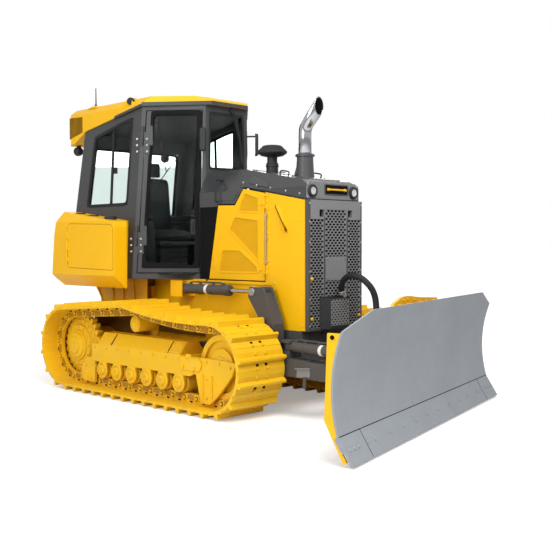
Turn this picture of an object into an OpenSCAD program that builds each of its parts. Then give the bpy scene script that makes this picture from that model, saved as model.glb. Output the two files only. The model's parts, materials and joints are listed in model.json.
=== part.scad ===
// Compact crawler bulldozer with an enclosed cab and a six-way blade on a C-frame.
// Millimetres, +Z up, the machine faces +X and its left side is +Y.
// Lengths are counted from midway between idler and sprocket, then moved by frame_shift and side_shift
// so that the origin lies on the ground below the middle of the whole machine.

/* [Undercarriage] */
// Distance between the centre lines of the two tracks
track_gauge = 1570; // [1550:1:1620]
// Width of a track shoe
shoe_width = 508; // [440:1:520]
// Distance from sprocket axle to idler axle
wheel_base = 2160; // [2120:1:2220]
// Shoes in each track
shoe_count = 40; // [36:1:44]
// Height of the bar on each shoe
grouser_height = 40; // [30:1:48]

/* [Blade] */
// Length of the blade from end to end
blade_width = 3050; // [2800:1:3300]
// Height of the blade above its cutting edge
blade_height = 960; // [900:1:1020]
// Yaw of the blade as it stands, its right end forward
blade_yaw = 14.5; // [10:0.5:16]
// Length cut off each top corner
corner_length = 367; // [250:1:450]

/* [Cab] */
// Half width of the cab at its floor
cab_half_width = 720; // [712:1:730]
// Height of the cab roof above the ground
roof_top = 2780; // [2740:1:2840]
// Thickness of the cab walls
cab_wall = 50; // [40:1:60]
// Thickness of the window panes
glass_thickness = 8; // [5:1:10]

/* [Engine cover] */
// Half width of the engine cover
hood_half_width = 340; // [330:1:350]
// Height of the hood where it meets the cab
hood_top = 2070; // [2040:1:2090]
// Outer radius of the exhaust pipe
exhaust_radius = 60; // [45:1:70]

/* [Cylinders] */
// Outer radius of the lift cylinders
lift_barrel_radius = 44; // [38:1:48]
// Radius of the lift rods
lift_rod_radius = 20; // [16:1:24]
// Outer radius of the angle cylinders
angle_barrel_radius = 42; // [36:1:46]
// Radius of the pin hole in the drawbar
drawbar_bore_radius = 25; // [18:0.5:32]

/* [Hidden] */
$fn = 32;
frame_shift = 646;
side_shift = 10;
yellow = [0.95, 0.72, 0.1];
grey = [0.33, 0.33, 0.34];
blade_grey = [0.6, 0.62, 0.63];
black = [0.1, 0.1, 0.1];
steel = [0.7, 0.7, 0.72];
glass = [0.55, 0.65, 0.68, 0.35];

sprocket_x = -wheel_base / 2;
idler_x = wheel_base / 2;
plate_out = 60;
shoe_in = 44;
belt_in = 36;
tip = plate_out + grouser_height;
sprocket_r = 320;
idler_r = 310;
sprocket_z = tip + sprocket_r;
idler_z = tip + idler_r;
carrier_x = -100;
carrier_z = tip + 707;
rail_in = -45;
half_gauge = track_gauge / 2;
track_in = half_gauge - shoe_width / 2;

lean = 70 / 1530;
door_yaw = 41;
roof_drop = roof_top - 2780;
floor_top = 1130;
cab_rear = -1365;
rear_rake = 0.165;
cab_front = 170;
door_x = -360;

pivot_x = 350;
pivot_z = 450;
lift_base = [60, 1000];
lift_eye = [1049, 1005];
lift_y = 450;
yaw_x = 2316;
tip_ahead = 240;
tilt_z = 351;
blade_foot = 16;
angle_base = [1420, 443];
angle_z = 570;
angle_eye = [-30, 550];
tilt_cyl_z = 745;
tilt_base_t = -60;
tilt_eye_t = 520;

// Shared shapes
module place() translate([-frame_shift, -side_shift, 0]) children();
module slab(x0, x1, y0, y1, z0, z1) translate([x0, y0, z0]) cube([x1 - x0, y1 - y0, z1 - z0]);
module side_shape(points, y0, y1)
  translate([0, y1, 0]) rotate([90, 0, 0]) linear_extrude(y1 - y0) polygon(points);
module front_shape(points, x0, x1)
  translate([x0, 0, 0]) rotate([90, 0, 90]) linear_extrude(x1 - x0) polygon(points);
module plan_shape(points, z0, z1) translate([0, 0, z0]) linear_extrude(z1 - z0) polygon(points);
module bar_x(x0, x1, y, z, r) translate([x0, y, z]) rotate([0, 90, 0]) cylinder(h = x1 - x0, r = r);
module bar_y(x, y0, y1, z, r) translate([x, y1, z]) rotate([90, 0, 0]) cylinder(h = y1 - y0, r = r);
module bar_z(x, y, z0, z1, r) translate([x, y, z0]) cylinder(h = z1 - z0, r = r);
module mirrored() mirror([0, 1, 0]) children();
module both_sides() { children(); mirrored() children(); }

// Track path: place, height and direction of the outward normal at a share of the loop
function top_z(x) = let (za = sprocket_z + sprocket_r, zb = idler_z + idler_r)
  x < carrier_x
  ? za + (carrier_z - za) * (x - sprocket_x) / (carrier_x - sprocket_x)
  : let (w = (x - carrier_x) / (idler_x - carrier_x))
    carrier_z + (zb - carrier_z) * w - 140 * w * (1 - w);
function top_normal(x) = 90 + atan((top_z(x + 5) - top_z(x - 5)) / 10);
function run_lengths() = [wheel_base, PI * sprocket_r, wheel_base, PI * idler_r];
function loop_length() = 2 * wheel_base + PI * (sprocket_r + idler_r);
function bottom_at(s) = [idler_x - s, tip, -90];
function sprocket_at(s) = let (a = -90 - s / sprocket_r * 180 / PI)
  [sprocket_x + sprocket_r * cos(a), sprocket_z + sprocket_r * sin(a), a];
function top_at(s) = [sprocket_x + s, top_z(sprocket_x + s), top_normal(sprocket_x + s)];
function idler_at(s) = let (a = 90 - s / idler_r * 180 / PI)
  [idler_x + idler_r * cos(a), idler_z + idler_r * sin(a), a];
function track_at(s) = let (n = run_lengths())
  s < n[0] ? bottom_at(s)
  : s < n[0] + n[1] ? sprocket_at(s - n[0])
  : s < n[0] + n[1] + n[2] ? top_at(s - n[0] - n[1])
  : idler_at(s - n[0] - n[1] - n[2]);
function out_from(q, u, v) =
  [q[0] + u * sin(q[2]) + v * cos(q[2]), q[1] - u * cos(q[2]) + v * sin(q[2])];
function loop_points(v) = concat(
  [for (i = [0:12]) out_from(sprocket_at(i / 12 * PI * sprocket_r), 0, v)],
  [for (i = [1:4]) out_from(top_at((carrier_x - sprocket_x) * i / 4), 0, v)],
  [for (i = [1:5]) out_from(top_at(carrier_x - sprocket_x + (idler_x - carrier_x) * i / 6), 0, v)],
  [for (i = [0:12]) out_from(idler_at(i / 12 * PI * idler_r), 0, v)]);
function shoe_points(q, pitch) = [
  for (p = [[4 - pitch / 2, shoe_in], [4 - pitch / 2, plate_out], [-34, plate_out], [-20, tip],
    [0, tip], [16, plate_out], [pitch / 2 - 4, plate_out], [pitch / 2 - 4, shoe_in]])
  out_from(q, p[0], p[1])];
function shoe_ring() = let (pitch = loop_length() / shoe_count)
  [for (k = [0:shoe_count - 1]) for (p = shoe_points(track_at((k + 0.5) * pitch), pitch)) p];

module track_loop(y0, y1, outer, inner)
  translate([0, y1, 0]) rotate([90, 0, 0]) linear_extrude(y1 - y0)
    difference() { polygon(outer); polygon(inner); }
module track_one() {
  track_loop(track_in, track_in + shoe_width, shoe_ring(), loop_points(belt_in));
  for (d = [-94, 56])
    track_loop(half_gauge + d, half_gauge + d + 38, loop_points(belt_in + 4), loop_points(rail_in));
}
module track_right() color(yellow) place() mirrored() track_one();
module track_left() color(yellow) place() track_one();

// Tooth wheel at the rear that drives the chain
function tooth_ring() = [for (i = [0:25]) for (p = [[-5.2, 276], [-2.4, 318], [2.4, 318], [5.2, 276]])
  let (a = i * 360 / 26 + p[0]) [sprocket_x + p[1] * cos(a), sprocket_z + p[1] * sin(a)]];
module sprockets() color(yellow) place() both_sides() {
  translate([0, half_gauge + 28, 0]) rotate([90, 0, 0]) linear_extrude(56) polygon(tooth_ring());
  bar_y(sprocket_x, half_gauge + 28, half_gauge + 62, sprocket_z, 190);
  bar_y(sprocket_x, half_gauge + 62, half_gauge + 96, sprocket_z, 118);
}

// Front wheel that guides the chain
module idlers() color(yellow) place() both_sides() difference() {
  union() {
    bar_y(idler_x, half_gauge - 95, half_gauge + 95, idler_z, 262);
    bar_y(idler_x, half_gauge - 50, half_gauge + 50, idler_z, 283);
    bar_y(idler_x, half_gauge - 115, half_gauge + 115, idler_z, 72);
  }
  for (d = [-110, 70]) difference() {
    bar_y(idler_x, half_gauge + d, half_gauge + d + 40, idler_z, 215);
    bar_y(idler_x, half_gauge + d - 5, half_gauge + d + 45, idler_z, 95);
  }
}

roller_x = [for (i = [0:5]) -560 + i * 228];
module track_rollers() color(yellow) place() both_sides() {
  for (x = roller_x) {
    bar_y(x, half_gauge - 100, half_gauge + 100, tip + 130, 84.5);
    bar_y(x, half_gauge - 110, half_gauge + 110, tip + 130, 40);
  }
  bar_y(carrier_x, half_gauge - 96, half_gauge + 96, carrier_z - 120, 73);
}

// Frame inside each track with a round lobe over each roller's end
lobe_low = tip + 72;
lobe = [[-62, 130], [-58, 44], [-36, 0], [36, 0], [58, 44], [62, 130]];
function guard_points() = concat([[-730, 326], [-716, lobe_low + 130]],
  [for (x = roller_x) for (p = lobe) [x + p[0], lobe_low + p[1]]],
  [[720, lobe_low + 130], [780, 326]]);
idler_guard = [[770, 470], [1150, 470], [1282, 462], [1296, 440], [1262, 362], [1183, 272], [1090, 180],
  [985, tip - 8], [860, tip - 8], [800, 326], [770, 326]];
rear_guide = [[-925, 150], [-880, tip - 4], [-700, tip - 4], [-690, 250], [-700, 340], [-735, 340], [-830, 326],
  [-915, 235]];
module track_frames() color(yellow) place() both_sides() difference() {
  union() {
    slab(-735, 770, half_gauge - 140, half_gauge + 140, 325, 470);
    front_shape([[half_gauge - 140, 470], [half_gauge + 140, 470], [half_gauge + 60, 575],
      [half_gauge - 60, 575]], -640, 600);
    for (d = [-140, 110]) {
      side_shape(guard_points(), half_gauge + d, half_gauge + d + 30);
      side_shape(idler_guard, half_gauge + d + 5, half_gauge + d + 25);
      side_shape(rear_guide, half_gauge + d, half_gauge + d + 30);
    }
    for (x = [886, 1000]) slab(x, x + 16, half_gauge + 130, half_gauge + 147, tip + 20, 330);
    slab(carrier_x - 45, carrier_x + 45, half_gauge - 140, half_gauge - 112, 470, carrier_z - 75);
    bar_y(carrier_x, half_gauge - 112, half_gauge - 96, carrier_z - 120, 34);
  }
  slab(765, idler_x + 100, half_gauge - 115, half_gauge + 115, 200, 700);
}

// Body between the tracks
module main_frame() color(yellow) place() { frame_body(); lift_pins(); }
module frame_body() difference() {
  union() {
    both_sides() {
      slab(-900, 1460, 260, hood_half_width, 420, 690);
      slab(-120, 250, 290, hood_half_width, 690, 1085);
      slab(-60, 95, hood_half_width, 505, 925, 1075);
      bar_y(pivot_x, hood_half_width, 372, pivot_z, 78);
      bar_y(pivot_x, 372, 518, pivot_z, 40);
      bar_y(-350, 330, half_gauge - 140, 400, 70);
    }
    slab(-900, 1460, -260, 260, 420, 445);
    slab(1420, 1460, -260, 260, 445, 690);
    slab(-1300, -520, -380, 380, 400, 1000);
    slab(-1300, -640, -380, 380, 1000, 1085);
  }
  both_sides() slab(-14, 200, 414, 486, 900, 1100);
}
module lift_pins() both_sides() bar_y(lift_base[0], 414, 486, lift_base[1], 24);
module final_drives() color(yellow) place() both_sides()
  bar_y(sprocket_x, 380, half_gauge - 28, sprocket_z, 165);
module rear_drawbar() color(yellow) place() difference() {
  union() {
    slab(-1335, -1300, -330, 330, 380, 820);
    slab(-1520, -1335, -110, 110, 420, 480);
    bar_z(-1520, 0, 420, 480, 110);
  }
  bar_z(-1530, 0, 400, 500, drawbar_bore_radius);
  for (y = [-260, 260]) for (z = [560, 760]) bar_x(-1340, -1290, y, z, 14);
}

// Engine bay
module engine_block() color(grey) place() {
  slab(430, 1180, -230, 230, 720, 1690);
  for (x = [500, 980]) slab(x, x + 130, -320, 320, 690, 720);
}
module radiator_core() color(black) place() slab(1290, 1400, -315, 315, 690, 1690);

skin_in = hood_half_width - 8;
front_panel = [[262, 1055], [1120, 1055], [1235, 690], [1500, 690], [1500, 1768], [1040, 1850],
  [1040, 1082], [286, 1082]];
module side_panels() color(yellow) place() both_sides() {
  side_shape(front_panel, skin_in, hood_half_width);
  panel_hinges();
}

door_outline = [[302, 1092], [1030, 1092], [1030, 1845], [764, 1890], [656, 1750], [432, 1757]];
screens = [[[701, 1695], [955, 1680], [955, 1806], [782, 1858]],
  [[584, 1534], [955, 1254], [955, 1615], [651, 1650]], [[440, 1156], [950, 1162], [937, 1216], [715, 1356], [482, 1356]]];
panel_hinge_z = [1180, 1740];
module engine_door() {
  difference() {
    side_shape(door_outline, skin_in, hood_half_width);
    for (s = screens) side_shape(s, hood_half_width - 4, hood_half_width + 10);
  }
  for (z = panel_hinge_z) difference() {
    union() {
      bar_z(1034, hood_half_width + 8, z, z + 70, 8);
      slab(965, 1032, hood_half_width, hood_half_width + 6, z, z + 70);
    }
    bar_z(1034, hood_half_width + 8, z - 1, z + 80, 4.1);
  }
}
module panel_hinges() for (z = panel_hinge_z) {
  for (d = [-25, 75]) {
    bar_z(1034, hood_half_width + 8, z + d, z + d + 20, 8);
    slab(1037, 1085, hood_half_width, hood_half_width + 6, z + d, z + d + 20);
  }
  bar_z(1034, hood_half_width + 8, z - 25, z + 95, 4);
}
module engine_door_right() color(yellow) place() mirrored() engine_door();
module engine_door_left() color(yellow) place() engine_door();

hood_outer = [[764, 1900], [1040, 1854], [1502, 1771], [1506, 1780], [1506, 1905], [1430, 1945],
  [690, hood_top], [690, 1910]];
hood_inner = [[700, 1800], [1490, 1700], [1490, 1895], [1425, 1930], [680, hood_top - 15]];
function hood_section(w, c) = [[-w, 1600], [w, 1600], [w, 1880], [c, 2100], [-c, 2100], [-w, 1880]];
module hood() color(grey) place() difference() {
  intersection() {
    side_shape(hood_outer, -400, 400);
    front_shape(hood_section(hood_half_width - 2, 225), 600, 1600);
  }
  intersection() {
    side_shape(hood_inner, -400, 400);
    front_shape(hood_section(hood_half_width - 16, 211), 600, 1490);
  }
}
cowl_outer = [[170, 1085], [286, 1085], [420, 1769], [650, 1762], [752, 1895], [690, 1910],
  [690, hood_top], [170, hood_top + 12]];
module cowl_block() intersection() {
  side_shape(cowl_outer, -400, 400);
  front_shape([[-338, 1000], [338, 1000], [338, 1880], [225, 2100], [-225, 2100], [-338, 1880]], 100, 800);
}
module cowl() color(grey) place() difference() {
  cowl_block();
  intersection() {
    side_shape([[150, 1000], [800, 1000], [800, 1890], [695, hood_top - 15], [150, hood_top - 3]], -400, 400);
    front_shape([[-324, 900], [324, 900], [324, 1875], [211, 2090], [-211, 2090], [-324, 1875]], 100, 900);
  }
}

grille_columns = [[-318, -152, 1612], [-138, 138, 1692], [152, 318, 1612]];
module grille() color(grey) place() {
  difference() {
    slab(1500, 1545, -335, 335, 690, 1771);
    slab(1490, 1515, -305, 305, 715, 1745);
    for (c = grille_columns) {
      slab(1530, 1560, c[0], c[1], 715, c[2]);
      for (z = [730:44:c[2] - 30]) slab(1500, 1560, c[0] + 14, c[1] - 14, z, z + 18);
    }
    both_sides() slab(1490, 1560, 150, 208, 1632, 1692);
  }
  slab(1515, 1546, -132, 132, 1102, 1300);
}
module hood_lamps() color(steel) place() both_sides() bar_x(1506, 1532, 259, 1845, 52);
module guard_block(inset) plan_shape([[1545, inset - 205], [1610 - inset, inset - 140], [1610 - inset, 95 - inset],
  [1545, 140 - inset]], 700 - inset, 970 - inset);
module hose_guard() color(grey) place() difference() {
  guard_block(0);
  guard_block(10);
  for (i = [0:5]) slab(1590, 1620, -115, 70, 735 + i * 36, 749 + i * 36);
}

// Exhaust pipe that leans forward at its tip
exhaust_at = [1130, 60];
module on_exhaust(z, turn) translate([exhaust_at[0], exhaust_at[1], z]) rotate([0, turn, 0]) children();
bend_z = 2427;
module exhaust_stack() color(steel) place() difference() {
  union() {
    difference() {
      on_exhaust(0, 0) bar_z(0, 0, 1960, 2520, exhaust_radius);
      on_exhaust(bend_z + 4, 22.5) translate([-200, -200, 0]) cube(400);
    }
    on_exhaust(0, 0) bar_z(0, 0, 1975, 2020, exhaust_radius + 22);
    difference() {
      on_exhaust(bend_z, 45) translate([0, 0, -60]) cylinder(h = 420, r = exhaust_radius - 3);
      on_exhaust(bend_z, 22.5) translate([-200, -200, -400]) cube(400);
    }
  }
  on_exhaust(bend_z, 45) translate([0, 0, 110]) cylinder(h = 400, r = exhaust_radius - 8);
  slab(1297, 1700, -200, 300, 2300, 2900);
  hood_top_cut();
}
module hood_top_cut() side_shape([[400, 1500], [1700, 1500], [1500, 1935], [1430, 1945], [690, hood_top],
  [400, hood_top + 5]], -300, 300);
module pre_cleaner() color(black) place() difference() {
  translate([853, -70, 0]) {
    bar_z(0, 0, 2000, 2125, 52);
    bar_z(0, 0, 2125, 2185, 44);
    translate([0, 0, 2180]) cylinder(h = 32, r1 = 88, r2 = 130);
    bar_z(0, 0, 2212, 2222, 130);
    translate([0, 0, 2222]) cylinder(h = 59, r1 = 130, r2 = 74);
  }
  hood_top_cut();
}

// Cab walls follow two leaning sides, two yawed door planes, a front and a rear
function side_y(z) = cab_half_width - lean * (z - 1150);
function door_y(x, inset) = cab_half_width - inset / cos(door_yaw) - (x - door_x) * tan(door_yaw);
function door_at(y, inset) = door_x + (cab_half_width - inset / cos(door_yaw) - y) / tan(door_yaw);
function cab_plan(inset) = let (xf = cab_front - inset, xr = cab_rear + inset,
  w = cab_half_width + 60)
  [[xr, -w], [door_at(w, inset), -w], [xf, -door_y(xf, inset)], [xf, door_y(xf, inset)],
   [door_at(w, inset), w], [xr, w]];
function cab_section(inset) = let (a = side_y(1000) - inset, b = side_y(2900) - inset)
  [[-a, 1000], [a, 1000], [b, 2900], [-b, 2900]];
roof_line = [[-1605, 2430], [-1412, 2430], [-1205, 2542], [-250, 2700], [240, 2705]];
function rear_x(z) = cab_rear + rear_rake * (z - 1700);
module cab_solid(inset, z0) intersection() {
  plan_shape(cab_plan(inset), z0, 2900);
  front_shape(cab_section(inset), -1700, 300);
  side_shape([[cab_rear + inset, 900], [400, 900], [400, 2900], [rear_x(2900) + inset, 2900],
    [cab_rear + inset, 1700]], -900, 900);
}
module below_roof(z0, dz) translate([0, 0, roof_drop + dz])
  side_shape(concat([[-1700, z0 - 500], [-1700, 2430]], roof_line, [[300, 2705], [300, z0 - 500]]), -900, 900);
module on_door() translate([door_x, -cab_half_width, 0]) rotate([0, 0, door_yaw]) children();
function post_u(z) = lean * (z - 1150) / sin(door_yaw);
door_low = 1140;
door_high = 2650;
function door_frame_points(g) = [[post_u(door_low) + 44 + g, door_low + g], [640 - g, door_low + g],
  [672 - g, door_high + roof_drop - g], [post_u(door_high) + 44 + g, door_high + roof_drop - g]];
function door_glass_points(g) = [[post_u(1330) + 94 - g, 1226 - g], [604 + g, 1190 - g],
  [640 + g, 2622 + roof_drop + g], [post_u(2622) + 98 - g, 2622 + roof_drop + g]];
rear_window = [[-1160, 1780], [-470, 1780], [-415, 2600], [-560, 2580], [-1055, 2470]];
module rear_window_cut() side_shape(rear_window, -900, 900);
module cab_frame() color(grey) place() { cab_walls(); both_sides() on_door() post_hinges(); }
module cab_walls() difference() {
  intersection() { cab_solid(0, floor_top); below_roof(1130, 0); }
  cab_solid(cab_wall, 1000);
  both_sides() on_door() side_shape(door_frame_points(-4), -60, 120);
  rear_window_cut();
  front_shape([[-222, 2108], [222, 2108], [214, 2640 + roof_drop], [-214, 2640 + roof_drop]], 100, 240);
  front_shape([[-560, 1700], [560, 1700], [540, 2390], [-540, 2390]], -1480, -1150);
}
module cab_floor() color(grey) place() cab_floor_solid();
module cab_floor_solid() intersection() {
  plan_shape(cab_plan(0), 1085, floor_top);
  front_shape(cab_section(0), -1700, 300);
}
module pane_layer(inset, t) difference() { cab_solid(inset, 1200); cab_solid(inset + t, 1100); }
module cab_glass() color(glass) place() {
  intersection() {
    pane_layer(18, glass_thickness);
    union() {
      side_shape(rear_window, -900, -500);
      side_shape(rear_window, 500, 900);
      front_shape([[-222, 2108], [222, 2108], [214, 2640 + roof_drop], [-214, 2640 + roof_drop]], 100, 240);
      front_shape([[-560, 1700], [560, 1700], [540, 2390], [-540, 2390]], -1480, -1150);
    }
  }
}
roof_half = cab_half_width - 52;
roof_plan = [[221, 225], [-262, roof_half], [-1480, roof_half], [-1605, 590], [-1605, -590],
  [-1480, -roof_half], [-262, -roof_half], [221, -225]];
module roof_block() translate([0, 0, roof_drop]) intersection() {
  plan_shape(roof_plan, 2400, 2900);
  side_shape(concat(roof_line, [[232, 2735], [190, 2765], [100, 2780], [-1460, 2780], [-1505, 2735]]), -900, 900);
  front_shape([[-roof_half, 2300], [roof_half, 2300], [roof_half, 2715], [roof_half - 60, 2780],
    [60 - roof_half, 2780], [-roof_half, 2715]], -1700, 300);
}
module cab_roof() color(yellow) place() difference() {
  roof_block();
  translate([0, 0, roof_drop]) intersection() {
    plan_shape([[120, 170], [-300, 570], [-1140, 570], [-1140, -570], [-300, -570], [120, -170]], 2300, 2720);
    side_shape([[-1140, 2300], [-1140, 2660], [-250, 2720], [130, 2720], [130, 2300]], -700, 700);
  }
}

// Inside of the cab
module operator_seat() color(black) place() {
  slab(-1000, -620, -190, 190, floor_top, 1420);
  slab(-1040, -540, -250, 250, 1420, 1540);
  side_shape([[-1040, 1540], [-930, 1540], [-1000, 2100], [-1090, 2090]], -240, 240);
}
module control_console() color(black) place() {
  slab(-60, 90, -180, 180, floor_top, 1700);
  both_sides() slab(-1020, -560, cab_half_width - 420, cab_half_width - 300, floor_top, 1640);
}

module cab_lamps() color(steel) place() {
  both_sides() {
    difference() {
      bar_x(-520, -420, roof_half - 28, 2748 + roof_drop, 34);
      roof_block();
    }
    bar_x(-1530, -1465, 562, 2372 + roof_drop, 46);
    slab(-1512, -1488, 550, 574, 2400 + roof_drop, 2430 + roof_drop);
  }
  bar_z(-1140, -585, 2780 + roof_drop, 2800 + roof_drop, 20);
  bar_z(-1140, -585, 2800 + roof_drop, 2975 + roof_drop, 6);
}

module mirrors() color(black) place() both_sides() {
  on_door() {
    slab(682, 698, -80, 0, 2440, 2456);
    slab(668, 708, -106, -78, 2270, 2470);
  }
}

module handrails() color(black) place() both_sides() {
  on_door() {
    for (z = [1180, 1840]) slab(684, 700, -52, 0, z, z + 16);
    translate([692, -60, 1180]) cylinder(h = 676, r = 10);
  }
  difference() {
    union() {
      for (z = [1790, 1985]) bar_y(430, 270, 372, z, 9);
      bar_z(430, 372, 1781, 1994, 9);
    }
    cowl_block();
  }
}

tank_out = cab_half_width + 210;
tank_gap = 0.4;
module fender_tanks() color(yellow) place() both_sides() intersection() {
  side_shape([[-1395, 1000], [-345, 1000], [-345, 1570], [-365, 1622], [-1275, 1734], [-1345, 1645],
    [-1386, 1500], [-1436, 1080]], 600, tank_out + 70);
  front_shape([[side_y(1000) + tank_gap, 1000], [tank_out - 120, 1000], [tank_out, 1115], [tank_out, 1630],
    [tank_out - 55, 1740], [side_y(1740) + tank_gap, 1740]], -1500, -300);
  plan_shape([[-1500, 600], [-480, 600], [-430, cab_half_width + 25], [-345, cab_half_width + 70],
    [-345, tank_out + 70], [-1500, tank_out + 70]], 900, 1800);
}

// Cab doors in their yawed planes
module door_leaf() {
  difference() {
    side_shape(door_frame_points(4), 0, 42);
    side_shape(door_glass_points(0), -10, 60);
  }
  for (z = hinge_z) difference() {
    union() {
      slab(post_u(z) + 64, post_u(z) + 124, -8, 0, z, z + 180);
      slab(post_u(z) + 28, post_u(z) + 70, -8, -1.5, z + 58, z + 122);
      on_hinge(z) translate([0, 0, 58]) cylinder(h = 64, r = 11);
    }
    on_hinge(z) cylinder(h = 200, r = 6.1);
  }
}
hinge_z = [1400, 2330];
hinge_lean = atan(lean / sin(door_yaw));
module on_hinge(z) translate([post_u(z) + 22, -14, z]) rotate([0, hinge_lean, 0]) children();
module post_hinges() for (z = hinge_z) {
  slab(post_u(z + 180) + 2, post_u(z) + 20, -8, 4, z + 3, z + 50);
  slab(post_u(z + 180) + 2, post_u(z) + 20, -8, 4, z + 130, z + 177);
  for (d = [0, 127]) on_hinge(z) translate([0, 0, d]) cylinder(h = 53, r = 11);
  on_hinge(z) translate([0, 0, 40]) cylinder(h = 100, r = 6);
}
module door_right() color(grey) place() on_door() door_leaf();
module door_left() color(grey) place() mirrored() on_door() door_leaf();
module door_glass_right() color(glass) place() on_door() side_shape(door_glass_points(0), 16, 16 + glass_thickness);
module door_glass_left() color(glass) place() mirrored() on_door()
  side_shape(door_glass_points(0), 16, 16 + glass_thickness);

// Push frame around the front with towers for the lift rods
arm_shape = [[pivot_x - 85, 410], [pivot_x - 60, 370], [pivot_x + 100, 350], [1730, 330], [1880, 330], [1880, 470],
  [1730, 470], [1300, 490], [pivot_x + 80, 530], [pivot_x - 60, 525], [pivot_x - 85, 490]];
tower_shape = [[1120, 480], [1310, 480], [1310, 750], [1180, 1045], [1015, 1045], [1000, 960], [1120, 800]];
tower_web = [[1130, 480], [1305, 480], [1305, 745], [1185, 1000], [1142, 1000], [1130, 800]];
module c_frame() color(grey) place() { push_frame(); angle_pins(); }
module push_frame() difference() {
  union() {
    both_sides() {
      side_shape(arm_shape, 378, 508);
      side_shape(tower_shape, 392, 412);
      side_shape(tower_shape, 488, 508);
      side_shape(tower_web, 412, 488);
      slab(1375, 1470, 388, 498, 480, 540);
      slab(1375, 1470, 388, 498, 600, 620);
      slab(1340, 1375, 388, 498, 480, 620);
      bar_y(lift_eye[0], 384, 392, lift_eye[1], 30);
      bar_y(lift_eye[0], 508, 516, lift_eye[1], 30);
    }
    slab(1730, 1880, -508, 508, 330, 470);
    plan_shape([[1870, -300], [yaw_x - 170, -50], [yaw_x, -50], [yaw_x, 50], [yaw_x - 170, 50], [1870, 300]], 225, 475);
    bar_z(yaw_x, 0, 225, 475, 50);
  }
  slab(yaw_x - 165, yaw_x + 100, -200, 200, 270, 432);
  bar_z(yaw_x, 0, 200, 500, 30.1);
  both_sides() bar_y(pivot_x, 370, 520, pivot_z, 40.1);
}

// Blade parts stand in a frame yawed about the pivot
module on_yaw() translate([yaw_x, 0, 0]) rotate([0, 0, blade_yaw]) children();
module blade_yoke() color(grey) place() { on_yaw() yoke_body(); yoke_pin(); }
module yoke_body() difference() {
  union() {
    slab(-70, 40, -90, 90, 275, 427);
    bar_z(0, 0, 230, 275, 30);
    bar_z(0, 0, 427, 470, 30);
    for (s = [-1, 1]) slab(-50, 40, min(s * 88, s * 150), max(s * 88, s * 150), 275, 530);
    slab(-70, 35, -470, 470, 520, 620);
    for (s = [-1, 1]) {
      slab(-90, 35, min(s * 440, s * 620), max(s * 440, s * 620), 520, 540);
      slab(-90, 35, min(s * 440, s * 620), max(s * 440, s * 620), 600, 620);
    }
    slab(-60, -42, -125, -20, 610, 800);
    slab(12, 30, -125, -20, 610, 800);
  }
  bar_x(-36, 50, 0, tilt_z, 32.1);
}
module yoke_pin() on_yaw() bar_x(-42, 12, tilt_base_t, tilt_cyl_z, 16);

// Concave blade skin, counted from the tip of the cutting edge
seam_s = -107;
seam_z = blade_foot + 177;
top_z_blade = blade_foot + blade_height;
chamfer_z = top_z_blade - 120;
top_s = -28;
function curve(z) = let (w = (z - seam_z) / (top_z_blade - seam_z))
  seam_s + (top_s - seam_s) * w - 4 * 74 * w * (1 - w);
curve_z = [for (i = [0:12]) seam_z + (top_z_blade - seam_z) * i / 12];
function skin_line(back) = [for (z = curve_z) [tip_ahead + curve(z) - back, z]];
function reversed(v) = [for (i = [len(v) - 1:-1:0]) v[i]];
edge_back = [-17.1, -10.3];
edge_along = [0.517, -0.856];
function edge_point(l, n) = [tip_ahead + seam_s + edge_along[0] * l + edge_back[0] * n,
  seam_z + edge_along[1] * l + edge_back[1] * n];
skin_section = concat([edge_point(108, 1), edge_point(0, 1)], skin_line(0), reversed(skin_line(16)),
  [edge_point(0, 1.9), edge_point(108, 1.8)]);
front_view = [[-blade_width / 2, 0], [blade_width / 2, 0], [blade_width / 2, chamfer_z],
  [blade_width / 2 - corner_length, top_z_blade + 1], [corner_length - blade_width / 2, top_z_blade + 1],
  [-blade_width / 2, chamfer_z]];
module blade_wide(section, inset) intersection() {
  translate([0, blade_width / 2 - inset, 0]) rotate([90, 0, 0])
    linear_extrude(blade_width - 2 * inset) polygon(section);
  front_shape(front_view, -300, 400);
}
module moldboard() color(blade_grey) place() on_yaw() blade_wide(skin_section, 0);
edge_section = [edge_point(0, 0), edge_point(206.8, 0), edge_point(206.8, 1), edge_point(0, 1)];
module cutting_edges() color(blade_grey) place() on_yaw() {
  for (t = [-1, 1]) translate([0, t * (blade_width / 2 - 150), 0]) edge_piece(298);
  w = (blade_width - 604) / 3;
  for (i = [-1:1]) translate([0, i * (w + 1), 0]) edge_piece(w - 1);
}
module edge_piece(w) translate([0, w / 2, 0]) rotate([90, 0, 0]) linear_extrude(w) polygon(edge_section);

end_plate = concat(reversed([for (i = [0:10]) [tip_ahead + curve(curve_z[i]) - 16, curve_z[i]]]),
  [edge_point(0, 1.9), edge_point(108, 1.8), edge_point(165, 1.8), edge_point(165, 3.2),
   [tip_ahead - 212, seam_z + 95], [tip_ahead - 190, curve_z[10]]]);
module across(section, t0, t1) translate([0, t1, 0]) rotate([90, 0, 0]) linear_extrude(t1 - t0) polygon(section);
module blade_back() color(yellow) place() on_yaw() {
  for (s = [-1, 1]) across(end_plate, s * (blade_width / 2 - 12) - 10, s * (blade_width / 2 - 12) + 10);
  across(back_band(curve_z[0], curve_z[1], 180), 60 - blade_width / 2, blade_width / 2 - 60);
  across(back_band(curve_z[9], curve_z[11], 160), 420 - blade_width / 2, blade_width / 2 - 420);
  for (t = blade_width * [-0.295, -0.157, 0.154, 0.289]) across(back_band(curve_z[1], curve_z[9], 178), t, t + 20);
  difference() {
    bar_x(46, 140, 0, tilt_z, 66);
    across(concat(skin_line(16), [[400, top_z_blade], [400, seam_z]]), -200, 200);
  }
  bar_x(-32, 60, 0, tilt_z, 32);
  across(back_band(curve_z[8], curve_z[9], 300), 580, 604);
  for (x = [-60, 12]) slab(x, x + 18, 484, 590, curve_z[8], curve_z[9]);
}
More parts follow.
